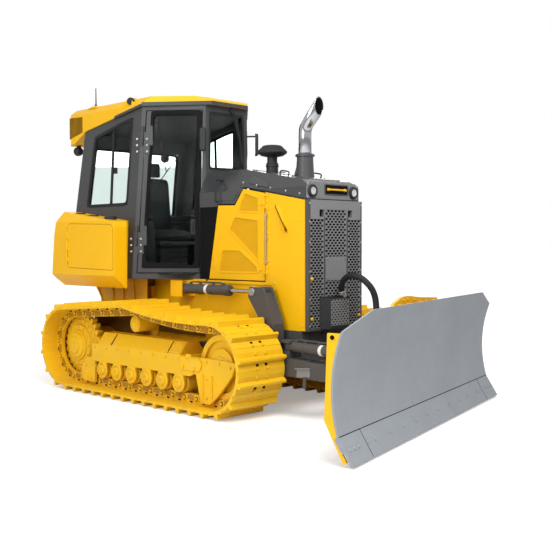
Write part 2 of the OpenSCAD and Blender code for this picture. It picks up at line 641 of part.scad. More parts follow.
function back_band(z0, z1, depth) = concat(
  [for (z = curve_z) if (z >= z0 - 0.01 && z <= z1 + 0.01) [tip_ahead + curve(z) - 16, z]],
  [[tip_ahead - depth, z1], [tip_ahead - depth, z0]]);

// Hydraulic cylinders lie along +X from their base pin
module barrel(length, r, bore, eye_r, pin_r, eye_w) difference() {
  union() {
    bar_y(0, -eye_w / 2, eye_w / 2, 0, eye_r);
    slab(0, 70, -eye_w / 2, eye_w / 2, 8 - eye_r, eye_r - 8);
    bar_x(62, length, 0, 0, r);
    bar_x(length - 40, length, 0, 0, r + 3);
  }
  bar_y(0, -eye_w, eye_w, 0, pin_r);
  bar_x(78, length + 10, 0, 0, bore);
}
module rod(reach, length, r, eye_r, eye_w) {
  bar_y(reach, -eye_w / 2, eye_w / 2, 0, eye_r);
  bar_x(reach - length, reach - eye_r + 6, 0, 0, r);
}
function dist(a, b) = sqrt((a[0] - b[0]) * (a[0] - b[0]) + (a[1] - b[1]) * (a[1] - b[1]));
lift_len = dist(lift_base, lift_eye);
module on_lift() translate([lift_base[0], lift_y, lift_base[1]])
  rotate([0, -atan2(lift_eye[1] - lift_base[1], lift_eye[0] - lift_base[0]), 0]) children();
module lift_barrel() on_lift() barrel(650, lift_barrel_radius, lift_rod_radius + 0.6, 44, 24.1, 62);
module lift_rod() on_lift() rod(lift_len, 560, lift_rod_radius, 42, 62);
module lift_barrel_right() color(grey) place() mirrored() lift_barrel();
module lift_barrel_left() color(grey) place() lift_barrel();
module lift_rod_right() color(steel) place() mirrored() lift_rod();
module lift_rod_left() color(steel) place() lift_rod();

function eye_at(t) = [yaw_x + angle_eye[0] * cos(blade_yaw) - t * angle_eye[1] * sin(blade_yaw),
  angle_eye[0] * sin(blade_yaw) + t * angle_eye[1] * cos(blade_yaw)];
module on_angle(t) let (e = eye_at(t), dx = e[0] - angle_base[0], dy = e[1] - t * angle_base[1])
  translate([angle_base[0], t * angle_base[1], angle_z]) rotate([0, 0, atan2(dy, dx)]) rotate([90, 0, 0]) children();
function angle_len(t) = dist(eye_at(t), [angle_base[0], t * angle_base[1]]);
module angle_barrel(t) on_angle(t) barrel(560, angle_barrel_radius, 20.6, 40, 20.1, 50);
module angle_rod(t) on_angle(t) rod(angle_len(t), 575, 20, 38, 50);
module angle_pins() both_sides() bar_z(angle_base[0], angle_base[1], 540, 600, 20);
module angle_barrel_right() color(grey) place() angle_barrel(-1);
module angle_barrel_left() color(grey) place() angle_barrel(1);
module angle_rod_right() color(steel) place() angle_rod(-1);
module angle_rod_left() color(steel) place() angle_rod(1);

module on_tilt() on_yaw() translate([-15, tilt_base_t, tilt_cyl_z]) rotate([0, 0, 90]) children();
module tilt_barrel() color(grey) place() on_tilt() barrel(420, 34, 16.6, 32, 16.1, 40);
module tilt_rod() color(steel) place() on_tilt() rod(tilt_eye_t - tilt_base_t, 400, 16, 32, 40);

// Thick hose from the guard below the grille to the push frame
hose_path = [[1578, 40, 970], [1590, 14, 1035], [1628, -10, 1092], [1685, -25, 1132], [1752, -30, 1146],
  [1820, -25, 1133], [1876, -10, 1095], [1915, 14, 1040], [1932, 36, 972], [1940, 42, 890], [1944, 42, 790],
  [1945, 42, 690], [1945, 42, 580], [1945, 42, 475]];
hose_radius = 26;
hose_sides = 12;
function unit(v) = v / norm(v);
function hose_dir(i) = i == 0 || i == len(hose_path) - 1 ? [0, 0, i == 0 ? 1 : -1]
  : unit(hose_path[i + 1] - hose_path[i - 1]);
function hose_ring(i) = let (d = hose_dir(i), a = unit(cross(d, [0, 1, 0])), b = cross(a, d))
  [for (k = [0:hose_sides - 1]) let (w = k * 360 / hose_sides)
    hose_path[i] + hose_radius * (cos(w) * a + sin(w) * b)];
function hose_face(i, k) = let (n = hose_sides, j = (k + 1) % n)
  [i * n + k, (i + 1) * n + k, (i + 1) * n + j, i * n + j];
module blade_hose() color(black) place() polyhedron(
  points = [for (i = [0:len(hose_path) - 1]) for (p = hose_ring(i)) p],
  faces = concat([[for (k = [0:hose_sides - 1]) k]],
    [[for (k = [hose_sides - 1:-1:0]) (len(hose_path) - 1) * hose_sides + k]],
    [for (i = [0:len(hose_path) - 2]) for (k = [0:hose_sides - 1]) hose_face(i, k)]));

main_frame();
final_drives();
sprockets();
idlers();
track_rollers();
track_frames();
track_right();
track_left();
rear_drawbar();
engine_block();
radiator_core();
hood();
cowl();
side_panels();
grille();
engine_door_right();
engine_door_left();
hood_lamps();
exhaust_stack();
pre_cleaner();
hose_guard();
cab_frame();
cab_floor();
cab_roof();
cab_glass();
operator_seat();
control_console();
cab_lamps();
mirrors();
handrails();
fender_tanks();
door_right();
door_glass_right();
door_left();
door_glass_left();
c_frame();
blade_hose();
blade_yoke();
moldboard();
blade_back();
cutting_edges();
lift_barrel_right();
lift_rod_right();
lift_barrel_left();
lift_rod_left();
angle_barrel_right();
angle_rod_right();
angle_barrel_left();
angle_rod_left();
tilt_barrel();
tilt_rod();
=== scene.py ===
"""Looks for a compact crawler bulldozer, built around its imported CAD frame.

Lengths inside the builders are machine millimetres, counted from midway between the two wheels of a
track at ground level, with +X forward and +Y to the machine's left. at() turns them into frame metres.
"""
from __future__ import annotations

import json
import logging
import math
from dataclasses import dataclass
from enum import Enum
from itertools import product
from typing import Callable, Iterable, Mapping, Sequence

import bmesh
import bpy
from mathutils import Matrix, Vector


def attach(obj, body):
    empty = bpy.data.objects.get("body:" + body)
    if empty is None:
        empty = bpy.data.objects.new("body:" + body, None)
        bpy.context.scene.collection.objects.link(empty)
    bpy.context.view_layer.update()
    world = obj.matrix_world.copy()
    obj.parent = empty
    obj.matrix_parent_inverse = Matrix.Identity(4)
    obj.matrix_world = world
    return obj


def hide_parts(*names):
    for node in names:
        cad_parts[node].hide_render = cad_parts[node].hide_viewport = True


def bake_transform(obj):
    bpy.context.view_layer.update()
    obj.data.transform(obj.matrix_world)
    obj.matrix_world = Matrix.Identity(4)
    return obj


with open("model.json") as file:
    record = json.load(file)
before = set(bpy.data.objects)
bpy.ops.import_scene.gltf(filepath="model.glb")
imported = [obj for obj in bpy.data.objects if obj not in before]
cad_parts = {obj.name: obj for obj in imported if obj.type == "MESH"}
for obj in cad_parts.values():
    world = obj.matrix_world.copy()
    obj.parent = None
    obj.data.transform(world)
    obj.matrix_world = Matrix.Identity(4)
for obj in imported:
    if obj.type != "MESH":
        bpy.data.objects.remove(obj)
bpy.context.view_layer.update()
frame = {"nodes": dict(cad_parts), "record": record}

LOG = logging.getLogger("bulldozer")
MM = 0.001
FRAME_SHIFT = (646.0, 10.0)
RIGHT, LEFT = -1, 1
SIDES = (("right", RIGHT), ("left", LEFT))
AXIS_X, AXIS_Y, AXIS_Z = Vector((1, 0, 0)), Vector((0, 1, 0)), Vector((0, 0, 1))
Point = Sequence[float]
Place = Callable[[float, float, float], Vector]
Outline = Sequence[Point]
Colour = tuple[float, float, float]
Socket = bpy.types.NodeSocket
Sockets = Mapping[str | int, object]

ANGLE_BARREL, TILT_BARREL = 560.0, 420.0
BLADE_YAW = math.radians(14.5)
BLADE_PIVOT_X = 2316.0
BLADE_HALF = 1525.0
EDGE_AHEAD, EDGE_Z = 133.0, 193.0
EDGE_RUN, EDGE_DROP = 0.517, 0.856
EDGE_NORMAL, EDGE_THICK = (17.1, 10.3), 20
DOOR_YAW = math.radians(41)
DOOR_FOOT = (-360.0, -720.0)
HINGE_Z, HINGE_BOLTS = (1400, 2330), (-58, 0, 58)
CAB_HALF, CAB_FOOT_Z = 720.0, 1150.0
CAB_LEAN = 70 / 1530
ROOF_Z, ROOF_KINK_X = 2700.0, -250.0
ROOF_FALL, EAVE_FALL = 0.1654, 0.0102

TONE_SCALE = 2.6
ROW_SPREAD = 1.732
RELIEF_DEPTH = 0.002
COAT_ROUGHNESS = 0.12
DUST_COLOUR, DUST_ROUGHNESS = (0.42, 0.36, 0.28), 0.35


def at(x: float, y: float, z: float) -> Vector:
    """Frame point in metres for a machine point in millimetres."""
    return Vector((x - FRAME_SHIFT[0], y - FRAME_SHIFT[1], z)) * MM


def on_blade(ahead: float, across: float, z: float) -> Vector:
    """Frame point for a point counted from the blade's pivot, along and across its yaw."""
    c, s = math.cos(BLADE_YAW), math.sin(BLADE_YAW)
    return at(BLADE_PIVOT_X + ahead * c - across * s, ahead * s + across * c, z)


def on_door(side: int) -> Place:
    """Place function of a cab door's plane.

    Args:
        side: RIGHT or LEFT.

    Returns:
        A function of the length along the door, the depth inwards and the height.
    """
    c, s = math.cos(DOOR_YAW), math.sin(DOOR_YAW)

    def place(along: float, inward: float, z: float) -> Vector:
        """Frame point on the door's plane."""
        x = DOOR_FOOT[0] + along * c - inward * s
        y = DOOR_FOOT[1] + along * s + inward * c
        return at(x, y if side == RIGHT else -y, z)

    return place


def post_lean(z: float) -> float:
    """Length along the door's plane by which its rear post leans at a height."""
    return CAB_LEAN * (z - CAB_FOOT_Z) / math.sin(DOOR_YAW)


def side_y(z: float) -> float:
    """Half width of the cab's leaning side wall at a height."""
    return CAB_HALF - CAB_LEAN * (z - CAB_FOOT_Z)


def roof_low(x: float) -> float:
    """Height of the roof's lower face at a length along the machine."""
    return ROOF_Z + (EAVE_FALL if x > ROOF_KINK_X else ROOF_FALL) * (x - ROOF_KINK_X)


def on_front(y: float, z: float, x: float) -> Vector:
    """Frame point of a plane that looks along the machine, with its depth last."""
    return at(x, y, z)


def flat(place: Place) -> Place:
    """Place function with the height before the depth."""
    return lambda u, v, depth: place(u, depth, v)


def oblong(u0: float, v0: float, u1: float, v1: float) -> list[tuple[float, float]]:
    """Corners of a right-angled outline."""
    return [(u0, v0), (u1, v0), (u1, v1), (u0, v1)]


def circle(n: int, radius: float, turn: float = 0.0) -> list[tuple[float, float]]:
    """Points of a regular ring of n corners."""
    angles = [2 * math.pi * k / n + turn for k in range(n)]
    return [(radius * math.cos(a), radius * math.sin(a)) for a in angles]


def basis(axis: Vector) -> tuple[Vector, Vector]:
    """Two unit vectors square to an axis."""
    axis = axis.normalized()
    helper = AXIS_Z if abs(axis.z) < 0.9 else AXIS_X
    u = axis.cross(helper).normalized()
    return u, axis.cross(u).normalized()


def smooth_path(points: Sequence[Vector], steps: int = 6) -> list[Vector]:
    """Points of a soft curve that passes through the given ones.

    Args:
        points: Points that the curve passes.
        steps: Pieces between two of them.

    Returns:
        The curve's points in order.
    """
    path = []
    ends = [points[0] * 2 - points[1], *points, points[-1] * 2 - points[-2]]
    for a, b, c, d in zip(ends, ends[1:], ends[2:], ends[3:]):
        for k in range(steps):
            t = k / steps
            path.append(0.5 * (2 * b + (c - a) * t + (2 * a - 5 * b + 4 * c - d) * t * t
                               + (3 * b - a - 3 * c + d) * t ** 3))
    return [*path, points[-1].copy()]


def tube(rings: int, sides: int, hollow: bool = False) -> list[tuple[int, ...]]:
    """Faces of a row of rings.

    Args:
        rings: Number of rings.
        sides: Corners of each ring.
        hollow: Joins the last ring to the first one instead of closing both ends.

    Returns:
        Corner numbers of the faces.
    """
    last = (rings - 1) * sides
    faces = [] if hollow else [tuple(reversed(range(sides))), tuple(range(last, last + sides))]
    for j in range(rings if hollow else rings - 1):
        near, far = j * sides, (j + 1) % rings * sides
        for i in range(sides):
            k = (i + 1) % sides
            faces.append((near + i, near + k, far + k, far + i))
    return faces


def heal(mesh: bpy.types.Mesh, weld: float = 0.0) -> None:
    """Turns a mesh's faces outwards, after joining points that lie within a distance."""
    work = bmesh.new()
    work.from_mesh(mesh)
    if weld:
        bmesh.ops.remove_doubles(work, verts=work.verts, dist=weld)
    bmesh.ops.recalc_face_normals(work, faces=work.faces)
    work.to_mesh(mesh)
    work.free()


def new_object(name: str, data: bpy.types.ID) -> bpy.types.Object:
    """A new object in the scene."""
    made = bpy.data.objects.new(name, data)
    bpy.context.scene.collection.objects.link(made)
    return made


class Draft:
    """Vertices and faces of one piece, gathered before its mesh is made."""

    def __init__(self) -> None:
        """Starts with nothing in it."""
        self.verts: list[Vector] = []
        self.faces: list[tuple[int, ...]] = []
        self.marks: list[int] = []

    def add(self, verts: Iterable[Vector], faces: Iterable[Sequence[int]], mark: int = 0) -> None:
        """Adds a patch of faces.

        Args:
            verts: Points in frame metres.
            faces: Corner numbers, counted from this patch's first point.
            mark: Number of the finish that the faces take.
        """
        base = len(self.verts)
        self.verts.extend(Vector(v) for v in verts)
        for corners in faces:
            self.faces.append(tuple(base + i for i in corners))
            self.marks.append(mark)

    def prism(self, low: Sequence[Vector], high: Sequence[Vector], mark: int = 0) -> None:
        """Adds the closed solid between two rings of as many points."""
        self.add([*low, *high], tube(2, len(low)), mark)

    def plate(self, outline: Outline, place: Place, low: float, high: float, mark: int = 0) -> None:
        """Adds a plate with an outline, between two depths of a place function."""
        self.prism(*[[place(u, v, depth) for u, v in outline] for depth in (low, high)], mark)

    def block(self, low: Point, high: Point, place: Place = at, mark: int = 0) -> None:
        """Adds a box between two corners given in a place function's own lengths."""
        self.plate(oblong(*low[:2], *high[:2]), place, low[2], high[2], mark)

    def side_plate(self, outline: Outline, y0: float, y1: float, mark: int = 0) -> None:
        """Adds a plate with an outline in X and Z, between two places across."""
        self.plate(outline, flat(at), y0, y1, mark)

    def lathe(self, foot: Vector, axis: Vector, profile: Outline, sides: int = 32, mark: int = 0,
              hollow: bool = False) -> None:
        """Adds a turned solid, or a ring around a free middle.

        Args:
            foot: Point on the axis that the profile counts from, in metres.
            axis: Direction of the axis.
            profile: Pairs of radius and length along the axis, in millimetres.
            sides: Corners of each ring.
            mark: Number of the finish.
            hollow: Joins the profile's last ring to its first one, with no end faces.
        """
        axis = axis.normalized()
        u, v = basis(axis)
        verts = [foot + axis * (h * MM) + (u * c + v * s) * MM
                 for r, h in profile for c, s in circle(sides, max(r, 0.01))]
        self.add(verts, tube(len(profile), sides, hollow), mark)

    def rod(self, a: Vector, b: Vector, radius: float, sides: int = 20, mark: int = 0) -> None:
        """Adds a round bar of a radius in millimetres between two points in metres."""
        self.lathe(a, b - a, [(radius, 0), (radius, (b - a).length / MM)], sides, mark)

    def sweep(self, path: Sequence[Vector], radius: float, sides: int = 12, mark: int = 0,
              squash: float = 1.0) -> None:
        """Adds a tube along a path.

        Args:
            path: Points in metres.
            radius: Radius in millimetres.
            sides: Corners of each ring.
            mark: Number of the finish.
            squash: Height of the section as a share of its width.
        """
        verts = []
        u = None
        for i, p in enumerate(path):
            d = (path[min(i + 1, len(path) - 1)] - path[max(i - 1, 0)]).normalized()
            u = basis(d)[0] if u is None else (u - d * u.dot(d)).normalized()
            v = d.cross(u)
            verts.extend(p + (u * c + v * s * squash) * MM for c, s in circle(sides, radius))
        self.add(verts, tube(len(path), sides), mark)

    def bolt(self, foot: Vector, axis: Vector, across: float = 22, height: float = 9, mark: int = 0) -> None:
        """Adds a washer and a six-sided bolt head that stand on a surface."""
        r = across / 2
        self.lathe(foot - axis.normalized() * MM, axis, [(r * 1.35, 0), (r * 1.35, 3.5)], 16, mark)
        self.lathe(foot, axis, [(r * 1.15, 2), (r * 1.15, height - 2), (r * 0.95, height)], 6, mark)

    def dome(self, foot: Vector, axis: Vector, radius: float = 11, mark: int = 0) -> None:
        """Adds a low round fastener head."""
        profile = [(radius, 0), (radius, 2.5), (radius * 0.75, radius * 0.45), (radius * 0.3, radius * 0.6)]
        self.lathe(foot - axis.normalized() * MM, axis, profile, 14, mark)

    def mesh(self, name: str, weld: float = 0.0) -> bpy.types.Mesh:
        """Mesh with outward faces made from what was gathered, with near points joined."""
        mesh = bpy.data.meshes.new(name)
        mesh.from_pydata(self.verts, [], self.faces)
        mesh.polygons.foreach_set("material_index", self.marks)
        heal(mesh, weld)
        return mesh

    def build(self, name: str, finishes: Sequence[Finish], bevel: float = 0.0, crease: float = 35.0
              ) -> bpy.types.Object:
        """Makes the piece.

        Args:
            name: Name of the object.
            finishes: Finishes in the order of the marks.
            bevel: Width in millimetres by which edges are rounded.
            crease: Angle in degrees above which an edge stays sharp.

        Returns:
            The new object, at the origin.
        """
        mesh = self.mesh(name)
        for finish in finishes:
            mesh.materials.append(finish.material())
        mesh.polygons.foreach_set("use_smooth", [True] * len(mesh.polygons))
        mesh.set_sharp_from_angle(angle=math.radians(crease))
        piece = new_object(name, mesh)
        if bevel:
            rounded = piece.modifiers.new("rounded_edges", "BEVEL")
            rounded.width = bevel * MM
            rounded.segments = 2
            rounded.limit_method = "ANGLE"
            rounded.angle_limit = math.radians(30)
            rounded.harden_normals = True
        return piece


class Perforated(Draft):
    """A sheet with rows of oblong holes, each second row moved by half a step."""

    def sheet(self, place: Place, width: float, height: float, step: Point, hole: Point,
              mark: int = 0) -> None:
        """Adds one sheet.

        Args:
            place: Function of the lengths across and up, and of the depth.
            width: Width in millimetres.
            height: Height in millimetres.
            step: Spacing of the holes across and up.
            hole: Width and height of a hole.
            mark: Number of the finish.
        """
        columns, rows = max(1, round(width / step[0])), max(1, round(height / step[1]))
        dx, dz = width / columns, height / rows
        a, b = hole[0] / 2, hole[1] / 2
        ring = [(-a * 0.6, -b), (0, -b), (a * 0.6, -b), (a, 0), (a * 0.6, b), (0, b), (-a * 0.6, b), (-a, 0)]
        for j in range(rows):
            z = j * dz
            odd = j % 2
            for i in range(columns - odd):
                x = (i + odd / 2) * dx
                rim = [(x, z), (x + dx / 2, z), (x + dx, z), (x + dx, z + dz / 2), (x + dx, z + dz),
                       (x + dx / 2, z + dz), (x, z + dz), (x, z + dz / 2)]
                hole_ring = [(x + dx / 2 + p, z + dz / 2 + q) for p, q in ring]
                self.add([place(p, q, 0) for p, q in rim + hole_ring],
                         [(k, (k + 1) % 8, 8 + (k + 1) % 8, 8 + k) for k in range(8)], mark)
            if odd:
                for x in (0, width - dx / 2):
                    rim = [(x, z), (x + dx / 2, z), (x + dx / 2, z + dz / 2), (x + dx / 2, z + dz), (x, z + dz),
                           (x, z + dz / 2)]
                    self.add([place(p, q, 0) for p, q in rim], [range(6)], mark)

    def build_sheet(self, name: str, finish: Finish, thickness: float) -> bpy.types.Object:
        """Makes the sheet and gives it its thickness in millimetres."""
        mesh = self.mesh(name, 0.0001)
        mesh.materials.append(finish.material())
        piece = new_object(name, mesh)
        solid = piece.modifiers.new("sheet_thickness", "SOLIDIFY")
        solid.thickness = thickness * MM
        solid.offset = 0
        return piece


class Grain(Enum):
    """Kinds of fine relief that a finish can have."""

    PAINT = "paint"
    BRUSHED = "brushed"
    MOULDED = "moulded"
    WOVEN = "woven"


class Tree:
    """A shader tree that nodes are added to."""

    def __init__(self, tree: bpy.types.NodeTree) -> None:
        """Wraps a node tree."""
        self.tree = tree

    def put(self, node: bpy.types.Node, sockets: Sockets) -> bpy.types.Node:
        """Sets or joins inputs of a node.

        Args:
            node: Node of this tree.
            sockets: Values, or outputs of other nodes, by an input's name or number.

        Returns:
            The same node.
        """
        for key, value in sockets.items():
            if isinstance(value, Socket):
                self.tree.links.new(value, node.inputs[key])
            else:
                node.inputs[key].default_value = value
        return node

    def node(self, kind: str, sockets: Sockets | None = None, **values: object) -> bpy.types.Node:
        """Adds a node.

        Args:
            kind: Type of the node.
            sockets: What its inputs take.
            values: Its properties by name.

        Returns:
            The new node.
        """
        made = self.tree.nodes.new(kind)
        for key, value in values.items():
            setattr(made, key, value)
        return self.put(made, sockets or {})

    def math(self, kind: str, first: object, second: object = 0.0, clamp: bool = False) -> Socket:
        """Output of a math node on two sockets or numbers."""
        return self.node("ShaderNodeMath", {0: first, 1: second}, operation=kind, use_clamp=clamp).outputs[0]

    def mix(self, share: Socket, first: object, second: object) -> Socket:
        """Output of a mix of two colours or sockets by a share."""
        shades = [shade if isinstance(shade, Socket) else (*shade, 1.0) for shade in (first, second)]
        sockets = {"Factor": share, 6: shades[0], 7: shades[1]}
        return self.node("ShaderNodeMix", sockets, data_type="RGBA").outputs[2]

    def spread(self, value: Socket, low: float, high: float, to_low: float = 0.0,
               to_high: float = 1.0) -> Socket:
        """Output of a value mapped from one span to another and held at the ends."""
        sockets = dict(enumerate((value, low, high, to_low, to_high)))
        return self.node("ShaderNodeMapRange", sockets, clamp=True).outputs[0]

    def here(self) -> Socket:
        """Place in the object's own coordinates."""
        return self.node("ShaderNodeTexCoord").outputs["Object"]

    def noise(self, scale: object, detail: float, roughness: float = 0.5,
              where: Socket | None = None) -> Socket:
        """Adds noise.

        Args:
            scale: Socket or number.
            detail: Number of finer layers.
            roughness: Share of the finer layers.
            where: Coordinates, or none for the object's own.

        Returns:
            The noise's value.
        """
        where = self.here() if where is None else where
        sockets = {"Vector": where, "Scale": scale, "Detail": detail, "Roughness": roughness}
        return self.node("ShaderNodeTexNoise", sockets).outputs[0]

    def bump(self, height: Socket, strength: float, distance: float, **more: object
             ) -> Socket:
        """Normal of a fine relief."""
        sockets = {"Height": height, "Strength": strength, "Distance": distance, **more}
        return self.node("ShaderNodeBump", sockets).outputs[0]


class Effect:
    """A shader effect that finishes share, kept as one node group."""

    name: str = ""
    inputs: tuple[tuple[str, float], ...] = ()
    outputs: tuple[tuple[str, str], ...] = (("Mask", "NodeSocketFloat"),)

    @classmethod
    def group(cls) -> bpy.types.NodeTree:
        """The effect's node group, made when it is first asked for."""
        found = bpy.data.node_groups.get(cls.name)
        if found:
            return found
        tree = bpy.data.node_groups.new(cls.name, "ShaderNodeTree")
        for label, value in cls.inputs:
            socket = tree.interface.new_socket(label, in_out="INPUT", socket_type="NodeSocketFloat")
            socket.default_value = value
        for label, kind in cls.outputs:
            tree.interface.new_socket(label, in_out="OUTPUT", socket_type=kind)
        work = Tree(tree)
        given, result = work.node("NodeGroupInput"), work.node("NodeGroupOutput")
        work.put(result, cls.fill(work, given.outputs))
        return tree

    @classmethod
    def fill(cls, work: Tree, given: Sockets) -> Sockets:
        """Adds the effect's nodes and gives what each of the group's outputs takes."""
        raise NotImplementedError

    @classmethod
    def use(cls, work: Tree, **values: float) -> Sockets:
        """Outputs of the effect, placed in a material with its own values."""
        return work.node("ShaderNodeGroup", values, node_tree=cls.group()).outputs


class Mottle(Effect):
    """Soft changes of tone over a surface."""

    name = "mottle"
    inputs = (("Scale", 3.0),)

    @classmethod
    def fill(cls, work: Tree, given: Sockets) -> Sockets:
        """Adds wide noise."""
        return {"Mask": work.spread(work.noise(given["Scale"], 5.0, 0.6), 0.3, 0.7)}


class EdgeWear(Effect):
    """Rounded edges and the places where paint is rubbed thin on them."""

    name = "edge_wear"
    inputs = (("Radius", 0.006), ("Amount", 0.5))
    outputs = (("Mask", "NodeSocketFloat"), ("Normal", "NodeSocketVector"))

    @classmethod
    def fill(cls, work: Tree, given: Sockets) -> Sockets:
        """Compares the rounded normal with the plain one and breaks it up with noise."""
        soft = work.node("ShaderNodeBevel", {"Radius": given["Radius"]}, samples=4).outputs[0]
        plain = work.node("ShaderNodeNewGeometry").outputs["Normal"]
        dot = work.node("ShaderNodeVectorMath", {0: soft, 1: plain}, operation="DOT_PRODUCT")
        bent = work.spread(dot.outputs["Value"], 0.72, 0.97, 1.0, 0.0)
        worn = work.math("MULTIPLY", bent, work.spread(work.noise(26.0, 6.0), 0.45, 0.62))
        return {"Mask": work.math("MULTIPLY", worn, given["Amount"], clamp=True), "Normal": soft}


class FineGrain(Effect):
    """Fine relief of paint, cast or moulded surfaces."""

    name = "fine_grain"
    inputs = (("Scale", 300.0),)

    @classmethod
    def fill(cls, work: Tree, given: Sockets) -> Sockets:
        """Adds small noise."""
        return {"Mask": work.noise(given["Scale"], 3.0)}


class Brushing(Effect):
    """Long fine scratches, as on blade steel or a polished rod."""

    name = "brushing"
    inputs = (("Scale", 60.0),)

    @classmethod
    def fill(cls, work: Tree, given: Sockets) -> Sockets:
        """Adds noise that is stretched upwards."""
        drawn = work.node("ShaderNodeMapping", {"Vector": work.here(), "Scale": (1.0, 1.0, 0.06)}).outputs[0]
        return {"Mask": work.spread(work.noise(given["Scale"], 4.0, where=drawn), 0.35, 0.65)}


class Weave(Effect):
    """Crossed threads of seat cloth."""

    name = "weave"
    inputs = (("Scale", 220.0),)

    @classmethod
    def fill(cls, work: Tree, given: Sockets) -> Sockets:
        """Multiplies two sets of waves."""
        sockets = {"Vector": work.here(), "Scale": given["Scale"], "Distortion": 0.6}
        waves = [work.node("ShaderNodeTexWave", sockets, bands_direction=way).outputs[1] for way in ("X", "Y")]
        return {"Mask": work.math("MULTIPLY", *waves)}


class Dust(Effect):
    """Thin dust that settles low on the machine."""

    name = "dust"
    inputs = (("Amount", 0.3),)

    @classmethod
    def fill(cls, work: Tree, given: Sockets) -> Sockets:
        """Joins height and noise."""
        parts = work.node("ShaderNodeSeparateXYZ", {0: work.here()})
        low = work.spread(parts.outputs[2], 0.0, 0.9, 1.0, 0.12)
        share = work.math("MULTIPLY", low, work.spread(work.noise(7.0, 8.0, 0.7), 0.42, 0.72))
        return {"Mask": work.math("MULTIPLY", share, given["Amount"], clamp=True)}


class Holes(Effect):
    """Rows of small round holes in a screen, as a mask."""

    name = "screen_holes"
    inputs = (("Pitch", 0.014), ("Size", 0.36))

    @classmethod
    def fill(cls, work: Tree, given: Sockets) -> Sockets:
        """Measures the distance to the nearest hole of a staggered grid in X and Z."""
        parts = work.node("ShaderNodeSeparateXYZ", {0: work.here()})
        gaps = []
        for shift in (0.0, 0.5):
            legs = []
            for axis, stretch in ((0, 1.0), (2, ROW_SPREAD)):
                cell = work.math("DIVIDE", parts.outputs[axis], given["Pitch"])
                cell = work.math("ADD", work.math("DIVIDE", cell, stretch), shift)
                part = work.math("ABSOLUTE", work.math("SUBTRACT", work.math("FRACT", cell), 0.5))
                legs.append(work.math("POWER", work.math("MULTIPLY", part, stretch), 2.0))
            gaps.append(work.math("SQRT", work.math("ADD", *legs)))
        return {"Mask": work.math("LESS_THAN", work.math("MINIMUM", *gaps), given["Size"])}


def new_material(name: str) -> tuple[bpy.types.Material, Tree, bpy.types.Node]:
    """A new material with its tree and its shader."""
    made = bpy.data.materials.new(name)
    made.use_nodes = True
    return made, Tree(made.node_tree), made.node_tree.nodes["Principled BSDF"]


@dataclass(frozen=True)
class Finish:
    """A surface finish: one procedural material.

    Colours are linear. Wear shows the under colour on edges, dust lies low on the machine.
    """

    name: str
    colour: Colour
    roughness: float = 0.45
    metallic: float = 0.0
    coat: float = 0.0
    shine: float = 0.5
    tone: float = 0.10
    under: Colour = (0.16, 0.15, 0.14)
    wear: float = 0.0
    edge: float = 0.005
    dust: float = 0.0
    grain: Grain = Grain.PAINT
    scale: float = 320.0
    relief: float = 0.05

    @property
    def darker(self) -> Colour:
        """The colour's darker tone."""
        return tuple(c * (1 - self.tone) for c in self.colour)

    def material(self) -> bpy.types.Material:
        """The finish's material, made when it is first asked for."""
        return bpy.data.materials.get(self.name) or self.make()

    def make(self) -> bpy.types.Material:
        """Makes the material's nodes.

        Returns:
            The new material.
        """
        made, work, shader = new_material(self.name)
        fine = self.relief_effect(work)
        tone = Mottle.use(work, Scale=TONE_SCALE)["Mask"]
        colour = work.mix(tone, self.darker, self.colour)
        rough = work.spread(tone, 0.0, 1.0, self.roughness + 0.06, self.roughness - 0.04)
        wear = EdgeWear.use(work, Radius=self.edge, Amount=self.wear)
        if self.wear:
            colour = work.mix(wear["Mask"], colour, self.under)
        if self.dust:
            dust = Dust.use(work, Amount=self.dust)["Mask"]
            colour = work.mix(dust, colour, DUST_COLOUR)
            rough = work.math("ADD", rough, work.math("MULTIPLY", dust, DUST_ROUGHNESS), clamp=True)
        normal = work.bump(fine, self.relief, RELIEF_DEPTH, Normal=wear["Normal"])
        work.put(shader, {"Base Color": self.extra(work, colour), "Roughness": rough, "Normal": normal,
                          "Metallic": self.metallic, "Specular IOR Level": self.shine,
                          "Coat Weight": self.coat, "Coat Roughness": COAT_ROUGHNESS})
        return made

    def relief_effect(self, work: Tree) -> Socket:
        """Height of the fine relief for this finish's grain."""
        effect = {Grain.BRUSHED: Brushing, Grain.WOVEN: Weave}.get(self.grain, FineGrain)
        return effect.use(work, Scale=self.scale)["Mask"]

    def extra(self, work: Tree, colour: Socket) -> Socket:
        """Colour after what a special finish adds; the plain finish adds nothing."""
        return colour


@dataclass(frozen=True)
class ScreenFinish(Finish):
    """Painted sheet with rows of small holes, which are painted on: their dark colour is painted shade seen
    through them.
    """

    pitch: float = 0.009
    hole: float = 0.27
    # Dark brown yellow of the holes: painted shade from behind the sheet.
    hole_shade_colour: Colour = (0.30, 0.14, 0.004)

    def extra(self, work: Tree, colour: Socket) -> Socket:
        """Paints the holes dark with painted shade."""
        return work.mix(Holes.use(work, Pitch=self.pitch, Size=self.hole)["Mask"], colour, self.hole_shade_colour)


@dataclass(frozen=True)
class GlassFinish(Finish):
    """Clear pane with faint smears."""

    ior: float = 1.10
    smear: float = 0.02

    def make(self) -> bpy.types.Material:
        """Makes the pane's nodes.

        Returns:
            The new material.
        """
        made, work, shader = new_material(self.name)
        smear = Mottle.use(work, Scale=5.0)["Mask"]
        rough = work.spread(smear, 0.0, 1.0, self.roughness, self.roughness + self.smear)
        work.put(shader, {"Base Color": work.mix(smear, self.darker, self.colour), "Roughness": rough,
                          "Normal": work.bump(smear, 0.01, 0.001), "Transmission Weight": 1.0, "IOR": self.ior})
        return made


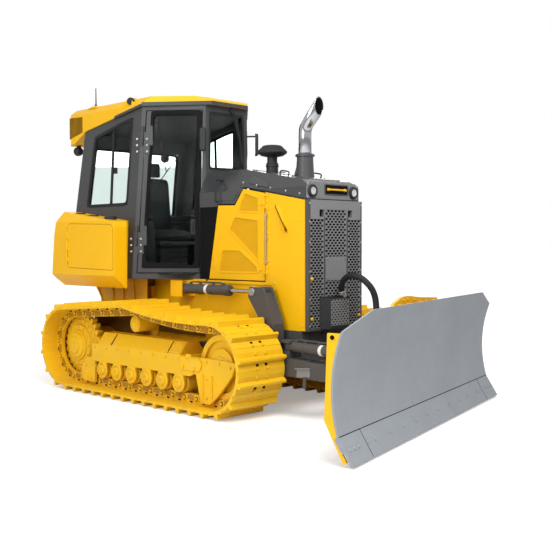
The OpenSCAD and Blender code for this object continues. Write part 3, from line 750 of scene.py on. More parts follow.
YELLOW = Finish("yellow_finish", (0.88, 0.475, 0.002), 0.42, shine=0.30, wear=0.25, dust=0.06, tone=0.05,
                under=(0.50, 0.26, 0.02))
TRACK_YELLOW = Finish("track_finish", (0.87, 0.505, 0.006), 0.50, shine=0.25, wear=0.5, dust=0.16,
                      under=(0.30, 0.16, 0.02), relief=0.12, scale=180.0)
# Dark brown yellow: painted shade for plates deep inside the track, where shade falls behind the top run.
PAINTED_SHADE = Finish("painted_shade_finish", (0.22, 0.105, 0.004), 0.7, shine=0.15, tone=0.25, dust=0.2)
SEAM = Finish("seam_finish", (0.36, 0.16, 0.004), 0.6, shine=0.1, tone=0.2, edge=0.001)
DARK = Finish("dark_finish", (0.066, 0.067, 0.070), 0.42, coat=0.08, shine=0.35, wear=0.35, dust=0.06,
              under=(0.20, 0.20, 0.20))
MESH = Finish("mesh_finish", (0.22, 0.222, 0.226), 0.45, shine=0.3, tone=0.12, edge=0.001)
TAIL = Finish("tail_lamp_finish", (0.45, 0.008, 0.008), 0.2, coat=0.5, tone=0.15, edge=0.002)
HOOD_DARK = Finish("hood_finish", (0.034, 0.035, 0.037), 0.30, coat=0.7, shine=0.45, wear=0.2, tone=0.08,
                   under=(0.16, 0.16, 0.16))
CAB_DARK = Finish("cab_finish", (0.050, 0.051, 0.053), 0.40, coat=0.10, shine=0.35, wear=0.25,
                  under=(0.16, 0.16, 0.16))
BLADE = Finish("blade_finish", (0.295, 0.318, 0.345), 0.45, shine=0.3, wear=0.4, dust=0.05, tone=0.07,
               under=(0.45, 0.45, 0.45), grain=Grain.BRUSHED, scale=60.0)
CHROME = Finish("chrome_finish", (0.55, 0.56, 0.58), 0.14, metallic=1.0, tone=0.08, edge=0.002,
                grain=Grain.BRUSHED, scale=90.0, relief=0.02)
STEEL = Finish("steel_finish", (0.42, 0.42, 0.42), 0.38, metallic=0.8, tone=0.2, wear=0.4,
               under=(0.6, 0.6, 0.6), edge=0.003, relief=0.1)
BLACK = Finish("black_finish", (0.020, 0.020, 0.021), 0.5, shine=0.35, tone=0.15, wear=0.2,
               under=(0.08, 0.08, 0.08), edge=0.003, grain=Grain.MOULDED, scale=420.0, relief=0.16)
RUBBER = Finish("rubber_finish", (0.015, 0.015, 0.016), 0.62, shine=0.3, tone=0.2, edge=0.002,
                grain=Grain.MOULDED, scale=260.0, relief=0.2)
SEAL = Finish("seal_finish", (0.006, 0.006, 0.007), 0.55, shine=0.1, tone=0.2, edge=0.001, relief=0.1)
# Darker yellow of the link plates: painted shade between the links, with real wear and dust on it.
PAINTED_SHADE_CHAIN = Finish("chain_painted_shade_finish", (0.50, 0.245, 0.006), 0.55, shine=0.25, wear=0.35, dust=0.2, tone=0.35, edge=0.003)
SHADOW = Finish("shadow_finish", (0.006, 0.006, 0.006), 0.85, shine=0.1, tone=0.3, edge=0.002, relief=0.1)
CLOTH = Finish("cloth_finish", (0.030, 0.031, 0.034), 0.85, shine=0.1, tone=0.25, edge=0.004, grain=Grain.WOVEN,
               scale=150.0, relief=0.45)
LENS = GlassFinish("lens_finish", (0.92, 0.94, 0.95), 0.06, tone=0.05)
GLASS = GlassFinish("window_finish", (0.86, 0.93, 0.91), 0.0, tone=0.03)
REFLECTOR = Finish("reflector_finish", (0.82, 0.83, 0.85), 0.18, metallic=1.0, tone=0.05, edge=0.001,
                   grain=Grain.MOULDED, scale=120.0, relief=0.25)
WHITE = Finish("pale_band_finish", (0.75, 0.75, 0.73), 0.4, tone=0.06, edge=0.001)
SCREEN = ScreenFinish("screen_finish", (0.80, 0.42, 0.003), 0.45, shine=0.2, tone=0.06)

NODE_FINISH: dict[str, Finish] = {
    "yellow_paint": YELLOW, "dark_paint": DARK, "blade_paint": BLADE, "rod_chrome": CHROME,
    "black_plastic": BLACK, "lamp_plastic": BLACK, "seat_fabric": CLOTH, "hose_rubber": RUBBER,
    "window_glass": GLASS,
}
TRACK_NODES = ("track_right", "track_left", "track_rollers", "sprockets", "idlers", "track_frames")
CAB_NODES = ("cab_frame", "cab_floor", "door_right", "door_left")
NODE_GROUPS = ((TRACK_NODES, TRACK_YELLOW), (CAB_NODES, CAB_DARK), (("hood", "cowl"), HOOD_DARK))


def dress_cad() -> None:
    """Gives each CAD object the finish of its material slot."""
    for part in frame["record"]["subparts"]:
        finish = NODE_FINISH[part["material_slot"]]
        finish = next((special for nodes, special in NODE_GROUPS if part["node"] in nodes), finish)
        shape = frame["nodes"][part["node"]]
        for slot in shape.material_slots:
            slot.material = finish.material()
        LOG.info("finish %s on %s", finish.name, part["node"])


class SubAssembly:
    """A group of pieces that dresses one part of the machine."""

    def build(self) -> None:
        """Builds all of the group's pieces."""
        raise NotImplementedError

    @staticmethod
    def settle(piece: bpy.types.Object, body: str, slot: str, *replaced: str) -> bpy.types.Object:
        """Fixes a piece to its body.

        Args:
            piece: Object in its place.
            body: Body that it rides on.
            slot: Material slot of the record; not used.
            replaced: CAD nodes that it stands for.

        Returns:
            The same object.
        """
        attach(piece, body)
        if replaced:
            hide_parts(*replaced)
        LOG.info("piece %s on %s", piece.name, body)
        return piece

    @classmethod
    def keep(cls, draft: Draft, name: str, finishes: Sequence[Finish], slot: str, bevel: float = 0.0,
             body: str = "chassis", replaced: Sequence[str] = ()) -> bpy.types.Object:
        """Makes a piece and fixes it to its body.

        Args:
            draft: The piece's shape.
            name: Name of the object.
            finishes: Finishes in the order of the marks.
            slot: Material slot of the record; not used.
            bevel: Width in millimetres by which edges are rounded.
            body: Body that it rides on.
            replaced: CAD nodes that it stands for.

        Returns:
            The new object.
        """
        return cls.settle(draft.build(name, finishes, bevel), body, slot, *replaced)


@dataclass
class SidePart(SubAssembly):
    """A group of pieces that belongs to one side of the machine."""

    side: str
    sign: int

    @property
    def out(self) -> Vector:
        """Direction away from the machine's middle."""
        return AXIS_Y * self.sign


def inset(outline: Outline, depth: float) -> list[tuple[float, float]]:
    """Outline moved inwards.

    Args:
        outline: Corners of a rounded-out flat shape in order.
        depth: Length by which each edge moves in.

    Returns:
        Corners of the smaller shape in the same order.
    """
    n = len(outline)
    area = sum(outline[i - 1][0] * outline[i][1] - outline[i][0] * outline[i - 1][1] for i in range(n))
    turn = 1 if area > 0 else -1
    lines = []
    for i in range(n):
        a, b = Vector(outline[i]), Vector(outline[(i + 1) % n])
        d = (b - a).normalized()
        lines.append((a + Vector((-d.y, d.x)) * depth * turn, d))
    made = []
    for i in range(n):
        (p, d), (q, e) = lines[i - 1], lines[i]
        cross = d.x * e.y - d.y * e.x
        t = ((q - p).x * e.y - (q - p).y * e.x) / cross
        made.append(tuple(p + d * t))
    return made


def rounded(outline: Outline, radius: float, steps: int = 4) -> list[tuple[float, float]]:
    """Outline with its corners rounded off by about a radius."""
    made = []
    n = len(outline)
    for i in range(n):
        p = Vector(outline[i])
        before, after = Vector(outline[i - 1]) - p, Vector(outline[(i + 1) % n]) - p
        a = p + before.normalized() * min(radius, before.length * 0.45)
        b = p + after.normalized() * min(radius, after.length * 0.45)
        for k in range(steps + 1):
            t = k / steps
            made.append(tuple(a * (1 - t) ** 2 + p * 2 * t * (1 - t) + b * t * t))
    return made


def ring_frame(draft: Draft, outline: Outline, width: float, place: Place, low: float, high: float,
               mark: int = 0) -> None:
    """Adds a closed frame of a width along the inside of an outline, between two depths."""
    ring_between(draft, outline, inset(outline, width), place, low, high, mark)


def ring_between(draft: Draft, outline: Outline, inner: Outline, place: Place, low: float,
                 high: float, mark: int = 0) -> None:
    """Adds a closed frame between two outlines with as many corners.

    Args:
        draft: Piece that takes the frame.
        outline: Outer corners.
        inner: Inner corners in the same order.
        place: Function of the outline's two lengths and the depth.
        low: Depth of one face.
        high: Depth of the other face.
        mark: Number of the finish.
    """
    n = len(outline)
    verts = [place(p, q, d) for d in (low, high) for ring in (outline, inner) for p, q in ring]
    faces = []
    for i in range(n):
        k = (i + 1) % n
        for a, b in ((0, 1), (1, 3), (3, 2), (2, 0)):
            faces.append((a * n + i, a * n + k, b * n + k, b * n + i))
    draft.add(verts, faces, mark)


@dataclass
class BladeHose(SubAssembly):
    """Thick hose that arches from the guard in front of the grille to the push frame."""

    radius: float = 26.0
    sides: int = 20
    sleeve_back: float = 0.006
    steps: Outline = ((12, 0), (12, 14), (5, 16), (5, 30), (7, 33), (5, 36), (5, 48), (2, 52))
    route: tuple[tuple[float, float, float], ...] = (
        (1578, 40, 970), (1590, 14, 1035), (1628, -10, 1092), (1685, -25, 1132), (1752, -30, 1146),
        (1820, -25, 1133), (1876, -10, 1095), (1915, 14, 1040), (1932, 36, 972), (1940, 42, 890),
        (1944, 42, 790), (1945, 42, 690), (1945, 42, 580), (1945, 42, 475))

    def build(self) -> None:
        """Builds the hose and its two sleeves."""
        path = smooth_path([at(*p) for p in self.route])
        draft = Draft()
        draft.sweep(path, self.radius, self.sides)
        hose = draft.build("blade_hose_skin", [RUBBER], crease=60)
        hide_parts("blade_hose")
        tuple(path[0])
        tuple(path[-1])
        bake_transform(hose)
        sleeves = [self.sleeve("hose_sleeve_guard", path[0], path[2], "chassis"),
                   self.sleeve("hose_sleeve_frame", path[-1], path[-3], "push_frame")]
        length = sum((b - a).length for a, b in zip(path, path[1:]))
        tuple(path[0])
        LOG.info("hose of %.3f m", length)

    def sleeve(self, name: str, foot: Vector, ahead: Vector, body: str) -> bpy.types.Object:
        """Turned steel sleeve over one end of the hose."""
        draft = Draft()
        r = self.radius
        profile = [(r + more, h) for more, h in self.steps]
        draft.lathe(foot - (ahead - foot).normalized() * self.sleeve_back, ahead - foot, profile, 24)
        return self.keep(draft, name, [STEEL], "rod_chrome", 1.0, body=body)


class TrackPath:
    """Line of a track's pins around sprocket, carrier roller and idler."""

    rear_x, rear_z, rear_r = -1080.0, 420.0, 320.0
    front_x, front_z, front_r = 1080.0, 410.0, 310.0
    carrier_x, carrier_z = -100.0, 807.0
    shoes = 40

    def __init__(self) -> None:
        """Samples the loop once."""
        points = [(self.front_x + (self.rear_x - self.front_x) * k / 60, 100.0) for k in range(60)]
        points += [(self.rear_x + self.rear_r * math.sin(a), self.rear_z - self.rear_r * math.cos(a))
                   for a in (-math.pi * k / 60 for k in range(60))]
        top_rear, top_front = self.rear_z + self.rear_r, self.front_z + self.front_r
        for k in range(30):
            w = k / 30
            points.append((self.rear_x + (self.carrier_x - self.rear_x) * w,
                           top_rear + (self.carrier_z - top_rear) * w))
        for k in range(40):
            w = k / 40
            points.append((self.carrier_x + (self.front_x - self.carrier_x) * w,
                           self.carrier_z + (top_front - self.carrier_z) * w - 140 * w * (1 - w)))
        points += [(self.front_x + self.front_r * math.sin(a), self.front_z + self.front_r * math.cos(a))
                   for a in (math.pi * k / 60 for k in range(60))]
        self.points = [Vector(p) for p in points]
        self.marks = [0.0]
        for a, b in zip(self.points, [*self.points[1:], self.points[0]]):
            self.marks.append(self.marks[-1] + (b - a).length)
        self.pitch = self.marks[-1] / self.shoes

    def at(self, s: float) -> tuple[Vector, Vector, Vector]:
        """Point, forward direction and outward direction at a length along the loop."""
        s %= self.marks[-1]
        k = next(i for i in range(len(self.points)) if self.marks[i + 1] >= s)
        a, b = self.points[k], self.points[(k + 1) % len(self.points)]
        d = (b - a).normalized()
        return a + d * (s - self.marks[k]), d, Vector((-d.y, d.x))


@dataclass
class TrackDress(SidePart):
    """Chain links, pins and shoe bolts of one track."""

    gauge: float = 785.0
    rail_out: float = 94.0
    link_depth: float = 8.0
    boss: float = 33.0
    plate_out: float = 60.0
    half: float = 252.0
    bolt_rows: tuple[float, float] = (-56.0, 60.0)
    bolt_y: float = 54.0
    slot_y: float = 48.0

    def build(self) -> None:
        """Builds the chain and the bolts."""
        path = TrackPath()
        chain, bolts = Draft(), Draft()
        for k in range(path.shoes):
            self.link(chain, path, k)
            self.shoe_bolts(bolts, path, k)
            self.lip(bolts, path, k)
        self.keep(chain, f"track_chain_{self.side}", [TRACK_YELLOW, SHADOW, PAINTED_SHADE_CHAIN], "yellow_paint", 1.5)
        self.keep(bolts, f"shoe_bolts_{self.side}", [TRACK_YELLOW, SHADOW], "yellow_paint")

    def place(self, path: TrackPath, s: float, along: float, out: float, y: float) -> Vector:
        """Frame point counted from the pin line at a length along the loop."""
        p, d, n = path.at(s)
        q = p + d * along + n * out
        return at(q.x, self.sign * (self.gauge + y), q.y)

    def link(self, draft: Draft, path: TrackPath, k: int) -> None:
        """Adds a link plate in painted shade, with its pin boss, a ring of painted shade round the pin and a patch
        of painted shadow in the gap by the shoe, on both outer sides of the rails.
        """
        s = k * path.pitch
        for face in (-1, 1):
            near, far = face * (self.rail_out - 2), face * (self.rail_out + self.link_depth)
            # The 22 mm ring takes painted shade, for the shade round the pin.
            for radius, depth, mark in ((self.boss, far, 0), (22.0, far + face, 1), (14.0, far + face * 6, 0)):
                rings = [[self.place(path, s, c, -9 + v, y) for c, v in circle(14, radius)] for y in (near, depth)]
                draft.prism(*rings, mark)
            plate = [(24, -36), (path.pitch - 40, -42), (path.pitch - 40, -2), (24, 10)]
            window = [(54, 16), (path.pitch - 62, 12), (path.pitch - 68, 30), (60, 30)]
            # The link plate takes the chain's painted shade; the window is a patch of painted shadow where the gap
            # by the shoe lies in shade.
            for outline, depth, mark in ((plate, far - face * 2, 2), (window, face * (self.rail_out + 0.8), 1)):
                rings = [[self.place(path, s + path.pitch / 2, u - path.pitch / 2, v, y) for u, v in outline]
                         for y in (near, depth)]
                draft.prism(*rings, mark)

    def shoe_bolts(self, draft: Draft, path: TrackPath, k: int) -> None:
        """Adds four bolts and two mud slots on a shoe; the slots are dark plates of painted shade standing for the
        holes.
        """
        s = (k + 0.5) * path.pitch
        out = path.at(s)[2]
        axis = Vector((out.x, 0, out.y))
        for y, u in product((-self.bolt_y, self.bolt_y), self.bolt_rows):
            draft.bolt(self.place(path, s, u, self.plate_out, y), axis, 24, 11)
        # Mud slots: dark plates of painted shade, not holes.
        for y in (-self.slot_y, self.slot_y):
            ring = [(24, y - 14), (24, y + 14), (43, y + 14), (43, y - 14)]
            draft.plate(ring, lambda u, v, lift: self.place(path, s, u, self.plate_out + lift, v), -6, 0.8, 1)

    def lip(self, draft: Draft, path: TrackPath, k: int) -> None:
        """Adds the lip that closes the gap between two shoes."""
        end = path.pitch / 2 - 10
        corners = ((-0.5, 1, 0.4), (0.5, -1, 0.4), (0.5, -1, -12), (-0.5, 1, -12))
        draft.prism(*[[self.place(path, (k + share) * path.pitch, way * end, self.plate_out + out, y)
                       for share, way, out in corners] for y in (-self.half, self.half)])


@dataclass
class RollerFrameDress(SidePart):
    """Hubs, bolts, caps and guards of one roller frame."""

    gauge: float = 785.0
    rollers: tuple[float, ...] = tuple(-560 + 228 * i for i in range(6))
    roller_z: float = 230.0
    carrier_z: float = 687.0
    plate: float = 140.0
    hub: Outline = ((252, 0), (252, 14), (236, 20), (206, 22), (200, 30), (196, 44), (150, 48),
                    (146, 66), (128, 70), (122, 84), (84, 92), (78, 104), (30, 106), (26, 100))
    hub_bolts: tuple[tuple[int, ...], ...] = ((20, 222, 20, 22, 10), (12, 172, 45, 20, 10), (6, 55, 96, 14, 7))
    cap: Outline = ((80, 0), (80, 9), (74, 14), (62, 15), (58, 8), (46, 8), (43, 19), (34, 24),
                    (16, 25), (14, 18))

    def build(self) -> None:
        """Builds the pieces of this side."""
        hub = Draft()
        foot = at(TrackPath.rear_x, self.sign * (self.gauge + 20), TrackPath.rear_z)
        hub.lathe(foot, self.out, self.hub, 48)
        for count, radius, depth, across, height in self.hub_bolts:
            for c, s in circle(count, radius):
                hub.bolt(foot + Vector((c, self.sign * depth, s)) * MM, self.out, across, height)
        self.keep(hub, f"sprocket_hub_{self.side}", [TRACK_YELLOW], "yellow_paint", 1.5)
        self.wheels()
        self.covers()
        self.guards()

    def wheels(self) -> None:
        """Adds caps on idler, rollers and carrier roller."""
        y, g, out = self.sign, self.gauge, self.out
        caps = Draft()
        caps.lathe(at(TrackPath.front_x, y * (g + 92), TrackPath.front_z), out,
                   [(150, 0), (150, 8), (138, 14), (90, 16), (82, 26), (40, 30), (36, 24)], 40)
        for x in self.rollers:
            caps.lathe(at(x, y * (g + 138), self.roller_z), out, self.cap, 36)
            for c, s in circle(4, 27, 0.785):
                caps.bolt(at(x + c, y * (g + 161), self.roller_z + s), out, 11, 5)
        x, z = TrackPath.carrier_x, self.carrier_z
        caps.lathe(at(x, y * (g + 94), z), out, [(62, 0), (62, 8), (52, 14), (30, 16), (26, 24), (10, 26)], 32)
        for c, s in circle(6, 42):
            caps.bolt(at(x + c, y * (g + 107), z + s), out, 13, 6)
        self.keep(caps, f"roller_caps_{self.side}", [TRACK_YELLOW], "yellow_paint", 1.2)

    def covers(self) -> None:
        """Adds the seams, straps and bolts on the frame's sloped cover and side plate."""
        y, out, side = self.sign, self.out, self.gauge + self.plate
        trim = Draft()
        slope = Vector((0, y * 105, 80)).normalized()

        def on_slope(x: float, up: float, lift: float) -> Vector:
            """Point on the sloped cover, a share of its height up and a length off its face."""
            return at(x, y * (side - 80 * up), 470 + 105 * up) + slope * lift * MM

        for x0 in (-430, 415):
            band = [(x0, 0.04), (x0, 0.96), (x0 + 16, 0.96), (x0 + 16, 0.04)]
            trim.plate(band, on_slope, -4, 1.2, 1)
        trim.plate([(440, 0.08), (440, 0.92), (590, 0.92), (590, 0.08)], on_slope, -4, 9)
        for x in range(-600, 420, 145):
            trim.dome(on_slope(x, 0.13, 0), slope, 9)
        for x, u in product((470, 560), (0.22, 0.78)):
            trim.bolt(on_slope(x, u, 9), slope, 15, 7)
        for x in range(-680, 760, 180):
            trim.bolt(at(x, y * side, 440), out, 20, 9)
        trim.block((690, y * (side - 2), 425), (752, y * (side + 12), 490))
        for x in (706, 736):
            trim.bolt(at(x, y * (side + 12), 458), out, 14, 7)
        nose = rounded([(600, 352), (600, 462), (860, 462), (890, 405), (860, 352)], 30)
        trim.side_plate(nose, y * (side - 4), y * (side + 10))
        for x in (650, 800):
            trim.bolt(at(x, y * (side + 10), 378), out, 22, 10)
        self.keep(trim, f"frame_cover_trim_{self.side}", [TRACK_YELLOW, SHADOW], "yellow_paint", 2.0)

    def guards(self) -> None:
        """Adds the bolts and wear strips of the idler guard and of the guide block by the sprocket."""
        y, side = self.sign, self.gauge + self.plate
        guard = Draft()
        for x, z in ((-860, 140), (-740, 140), (-740, 270), (-840, 260)):
            guard.bolt(at(x, y * side, z), self.out, 22, 10)
        for x, z in ((820, 390), (940, 440), (1100, 440), (1230, 420), (940, 140), (940, 300)):
            guard.bolt(at(x, y * (side - 5), z), self.out, 20, 9)
        strip = [(1296, 440), (1262, 362), (1183, 272), (1090, 180), (985, 92), (970, 106), (1074, 192),
                 (1168, 284), (1246, 370), (1280, 444)]
        guard.side_plate(strip, y * (side - 7), y * (side + 3))
        block = rounded([(-910, 150), (-870, 104), (-800, 104), (-800, 180), (-880, 230)], 14)
        guard.side_plate(block, y * (side - 2), y * (side + 12))
        self.keep(guard, f"track_guides_{self.side}", [TRACK_YELLOW], "yellow_paint", 3.0)


@dataclass
class Exhaust(SubAssembly):
    """Bright exhaust pipe that bends forward, with its grey shroud."""

    x: float = 1130.0
    y: float = 60.0
    foot_z: float = 1940.0
    bend_z: float = 2373.0
    bend_r: float = 130.0
    tilt: float = math.radians(45)
    mouth_x: float = 1297.0
    outer_r: float = 58.0
    inner_r: float = 52.0
    sides: int = 40

    def ring(self, x: float, z: float, lean: float, radius: float, flat: bool = False) -> list[Vector]:
        """Ring of the pipe around a point, cut upright at the mouth when flat is set."""
        made = []
        for c, s in circle(self.sides, radius):
            px, pz = x + c * math.cos(lean), z - c * math.sin(lean)
            if flat:
                run = (self.mouth_x - px) / math.sin(lean)
                px, pz = self.mouth_x, pz + run * math.cos(lean)
            made.append(at(px, self.y + s, pz))
        return made

    def build(self) -> None:
        """Builds the pipe and the shroud at its foot."""
        bend = [(self.x + self.bend_r * (1 - math.cos(a)), self.bend_z + self.bend_r * math.sin(a), a)
                for a in (self.tilt * k / 10 for k in range(11))]
        mouth = (*bend[-1][:2], self.tilt)
        rings = [self.ring(self.x, self.foot_z, 0, self.outer_r)]
        rings += [self.ring(*p, self.outer_r) for p in bend]
        rings += [self.ring(*mouth, self.outer_r, True), self.ring(*mouth, self.inner_r, True)]
        rings += [self.ring(*p, self.inner_r) for p in reversed(bend)]
        rings += [self.ring(self.x, self.bend_z - 120, 0, self.inner_r)]
        n = self.sides
        draft = Draft()
        inside = len(rings) - 13
        for j in range(len(rings) - 1):
            draft.add([*rings[j], *rings[j + 1]], tube(2, n)[2:], 1 if j >= inside else 0)
        draft.add(rings[0], [range(n)])
        draft.add(rings[-1], [range(n)], 1)
        pipe = draft.build("exhaust_pipe", [CHROME, SHADOW], crease=50)
        heal(pipe.data, 1e-5)
        self.settle(pipe, "chassis", "rod_chrome", "exhaust_stack")
        shroud = Draft()
        foot = at(self.x, self.y, 1955)
        shroud.lathe(foot, AXIS_Z, [(96, 0), (96, 26), (84, 32), (80, 60), (72, 205), (72, 212), (78, 214),
                                    (78, 238), (72, 240), (62, 242)], 40)
        for lean in (math.radians(40), math.radians(220)):
            shroud.bolt(foot + Vector((77 * math.cos(lean), 77 * math.sin(lean), 226)) * MM,
                        Vector((math.cos(lean), math.sin(lean), 0)), 14, 10)
        shroud.side_plate([(self.x - 150, 1960), (self.x - 60, 1960), (self.x - 60, 2130), (self.x - 84, 2130)],
                          self.y - 7, self.y + 7)
        self.keep(shroud, "exhaust_shroud", [DARK], "dark_paint", 2.0)


@dataclass
class PreCleaner(SubAssembly):
    """Black mushroom-shaped air inlet on the hood."""

    x: float = 853.0
    y: float = -70.0
    foot_z: float = 2010.0
    fins: int = 30
    fin: Outline = ((96, 178), (132, 202), (132, 219), (82, 268), (78, 264), (94, 192))
    fin_half: float = 2.2
    bowl: Outline = ((62, 0), (62, 22), (53, 26), (53, 78), (57, 80), (57, 100), (53, 102), (53, 116),
                     (45, 118), (45, 168), (84, 176), (98, 180), (128, 200), (130, 204), (130, 213),
                     (126, 218), (76, 268), (70, 271), (20, 272))

    def build(self) -> None:
        """Builds the turned body with its fins and clamp."""
        foot = at(self.x, self.y, self.foot_z)
        draft = Draft()
        draft.lathe(foot, AXIS_Z, self.bowl, 48)
        for c, s in circle(self.fins, 1):
            draft.plate(self.fin, lambda r, h, w: foot + Vector((r * c - w * s, r * s + w * c, h)) * MM,
                        -self.fin_half, self.fin_half)
        draft.bolt(foot + Vector((0, -57, 90)) * MM, -AXIS_Y, 12, 14)
        self.keep(draft, "pre_cleaner_body", [BLACK], "black_plastic", 0.8, replaced=("pre_cleaner",))


@dataclass
class Nose(SubAssembly):
    """Grille, hose guard, lamps and latch at the front of the engine cover."""

    columns: tuple[tuple[float, float, float], ...] = ((-318, -152, 1612), (-138, 138, 1692), (152, 318, 1612))
    step: tuple[float, float] = (44.0, 22.0)
    hole: tuple[float, float] = (37.0, 17.5)
    sheet_x: float = 1539.0
    frame_x: float = 1545.0
    guard_x: float = 1610.0
    nose_x: float = 1500.0
    foot_z: float = 715.0
    bars: tuple[tuple[float, float, float, float], ...] = (
        (-335, -318, 690, 1771), (318, 335, 690, 1771), (-152, -138, 715, 1632), (138, 152, 715, 1632),
        (-318, 318, 690, 715), (-318, -208, 1612, 1771), (208, 318, 1612, 1771), (-208, -150, 1612, 1632),
        (150, 208, 1612, 1632), (-208, -150, 1692, 1771), (150, 208, 1692, 1771), (-150, -138, 1632, 1771),
        (138, 150, 1632, 1771), (-138, 138, 1692, 1771))
    painted_light_band_z: float = 1600.0

    def build(self) -> None:
        """Builds the nose's pieces."""
        self.grille()
        self.guard()
        self.lamps()

    def grille(self) -> None:
        """Adds the grille's frame, its perforated sheets and the blank plate."""
        bars = Draft()
        # Bars above this height take the lighter grey mesh finish: painted light, for the brighter lit band under
        # the nose.
        for y0, y1, z0, z1 in self.bars:
            bars.block((self.nose_x, y0, z0), (self.frame_x, y1, z1), mark=3 if z0 > self.painted_light_band_z else 0)
        for y, z in product((-325, 325), (730, 950, 1180, 1420, 1590, 1740)):
            bars.dome(at(self.frame_x, y, z), AXIS_X, 9, 1)
        for y, z in product((-300, 300), (790, 1120)):
            bars.lathe(at(1540, y, z), AXIS_X, [(15, 0), (15, 6), (9, 9), (9, 14), (4, 15)], 20, 2)
        self.keep(bars, "grille_frame", [DARK, STEEL, YELLOW, MESH], "dark_paint", replaced=("grille",))
        for number, (y0, y1, top) in enumerate(self.columns):
            sheet = Perforated()
            sheet.sheet(lambda u, v, d, y0=y0: at(self.sheet_x + d, y0 + u, self.foot_z + v), y1 - y0,
                        top - self.foot_z, self.step, self.hole)
            self.settle(sheet.build_sheet(f"grille_sheet_{number}", MESH, 4), "chassis", "dark_paint")
        plate = Draft()
        plate.block((1526, -132, 1102), (1546, 132, 1300))
        for y, z in product((-114, 114), (1122, 1280)):
            plate.bolt(at(1546, y, z), AXIS_X, 14, 7)
        plate.block((1504, -316, 705), (1512, 316, 1700), mark=1)
        self.keep(plate, "grille_blank_plate", [MESH, SHADOW], "dark_paint", 1.5)

    def guard(self) -> None:
        """Adds the hose guard with its perforated front."""
        walls = Draft()
        rear, face = self.frame_x, self.guard_x
        plan = [(rear, -205), (face, -140), (face, 95), (rear, 140)]
        inner = [(rear, -191), (face - 10, -136), (face - 10, 91), (rear, 129)]
        for k in (0, 2):
            ring = [plan[k], plan[k + 1], inner[k + 1], inner[k]]
            walls.plate(ring, at, 700, 970)
        for z0, z1 in ((700, 728), (950, 970)):
            walls.plate([plan[1], plan[2], inner[2], inner[1]], at, z0, z1)
        walls.plate(plan, at, 962, 970)
        for y, z in product((-128, 84), (714, 960)):
            walls.dome(at(face, y, z), AXIS_X, 8)
        walls.block((1548, -180, 702), (1556, 120, 960), mark=1)
        self.keep(walls, "hose_guard_walls", [BLACK, SHADOW], "dark_paint", 1.5, replaced=("hose_guard",))
        front = Perforated()
        front.sheet(lambda u, v, d: at(face - 5 + d, -140 + u, 728 + v), 235, 222, (39, 20), (27, 11))
        self.settle(front.build_sheet("hose_guard_sheet", MESH, 4), "chassis", "dark_paint")

    def lamps(self) -> None:
        """Adds the two head lamps and the latch between them."""
        housing, glass = Draft(), Draft()
        for y in (-259, 259):
            foot = at(self.nose_x, y, 1845)
            housing.lathe(foot, AXIS_X, [(53, 0), (53, 20), (50, 26), (42, 30), (34, 29), (31, 24), (22, 14),
                                         (6, 10)], 40)
            housing.lathe(foot + AXIS_X * 0.0245, AXIS_X,
                          [(31, 0), (27, -6), (18, -10), (9, -12), (8, -7), (3, -4)], 32, 1)
            glass.lathe(foot + AXIS_X * 0.026, AXIS_X, [(33, 0), (32, 3), (20, 6), (5, 7)], 40)
        self.keep(housing, "head_lamp_housings", [BLACK, REFLECTOR], "lamp_plastic", 0.6,
                  replaced=("hood_lamps",))
        self.keep(glass, "head_lamp_lenses", [LENS], "window_glass")
        bolts = Draft()
        for y, z in product((-305, 305), (1795, 1898)):
            bolts.dome(at(1506, y, z), AXIS_X, 10)
        for y, z in ((-150, 1905), (-60, 1920), (90, 1920), (215, 1905)):
            bolts.dome(at(1506, y, z), AXIS_X, 7)
        # Lighter grey plate over the nose face: painted light, for the dark hood's front face lit brighter.
        cover = rounded([(-328, 1782), (328, 1782), (328, 1880), (300, 1922), (-300, 1922), (-328, 1880)], 22)
        bolts.plate(cover, on_front, self.nose_x, 1506.9, 1)
        self.keep(bolts, "nose_bolts", [STEEL, MESH], "dark_paint")
        latch = Draft()
        latch.rod(at(1514, -60, 1862), at(1514, 148, 1862), 8, 16)
        lug = rounded([(1504, 1850), (1520, 1852), (1524, 1862), (1516, 1874), (1504, 1874)], 4)
        for y in (-60, 148):
            latch.side_plate(lug, y - 14, y + 14)
        self.keep(latch, "hood_latch", [YELLOW], "yellow_paint", 1.5)
        recess = Draft()
        pocket = rounded(oblong(-98, 1826, 186, 1898), 8)
        recess.plate(pocket, on_front, 1499, 1507.2, 1)
        ring_frame(recess, inset(pocket, -9), 9, on_front, 1499, 1512)
        self.keep(recess, "hood_latch_pocket", [DARK, SHADOW], "dark_paint", 1.0)


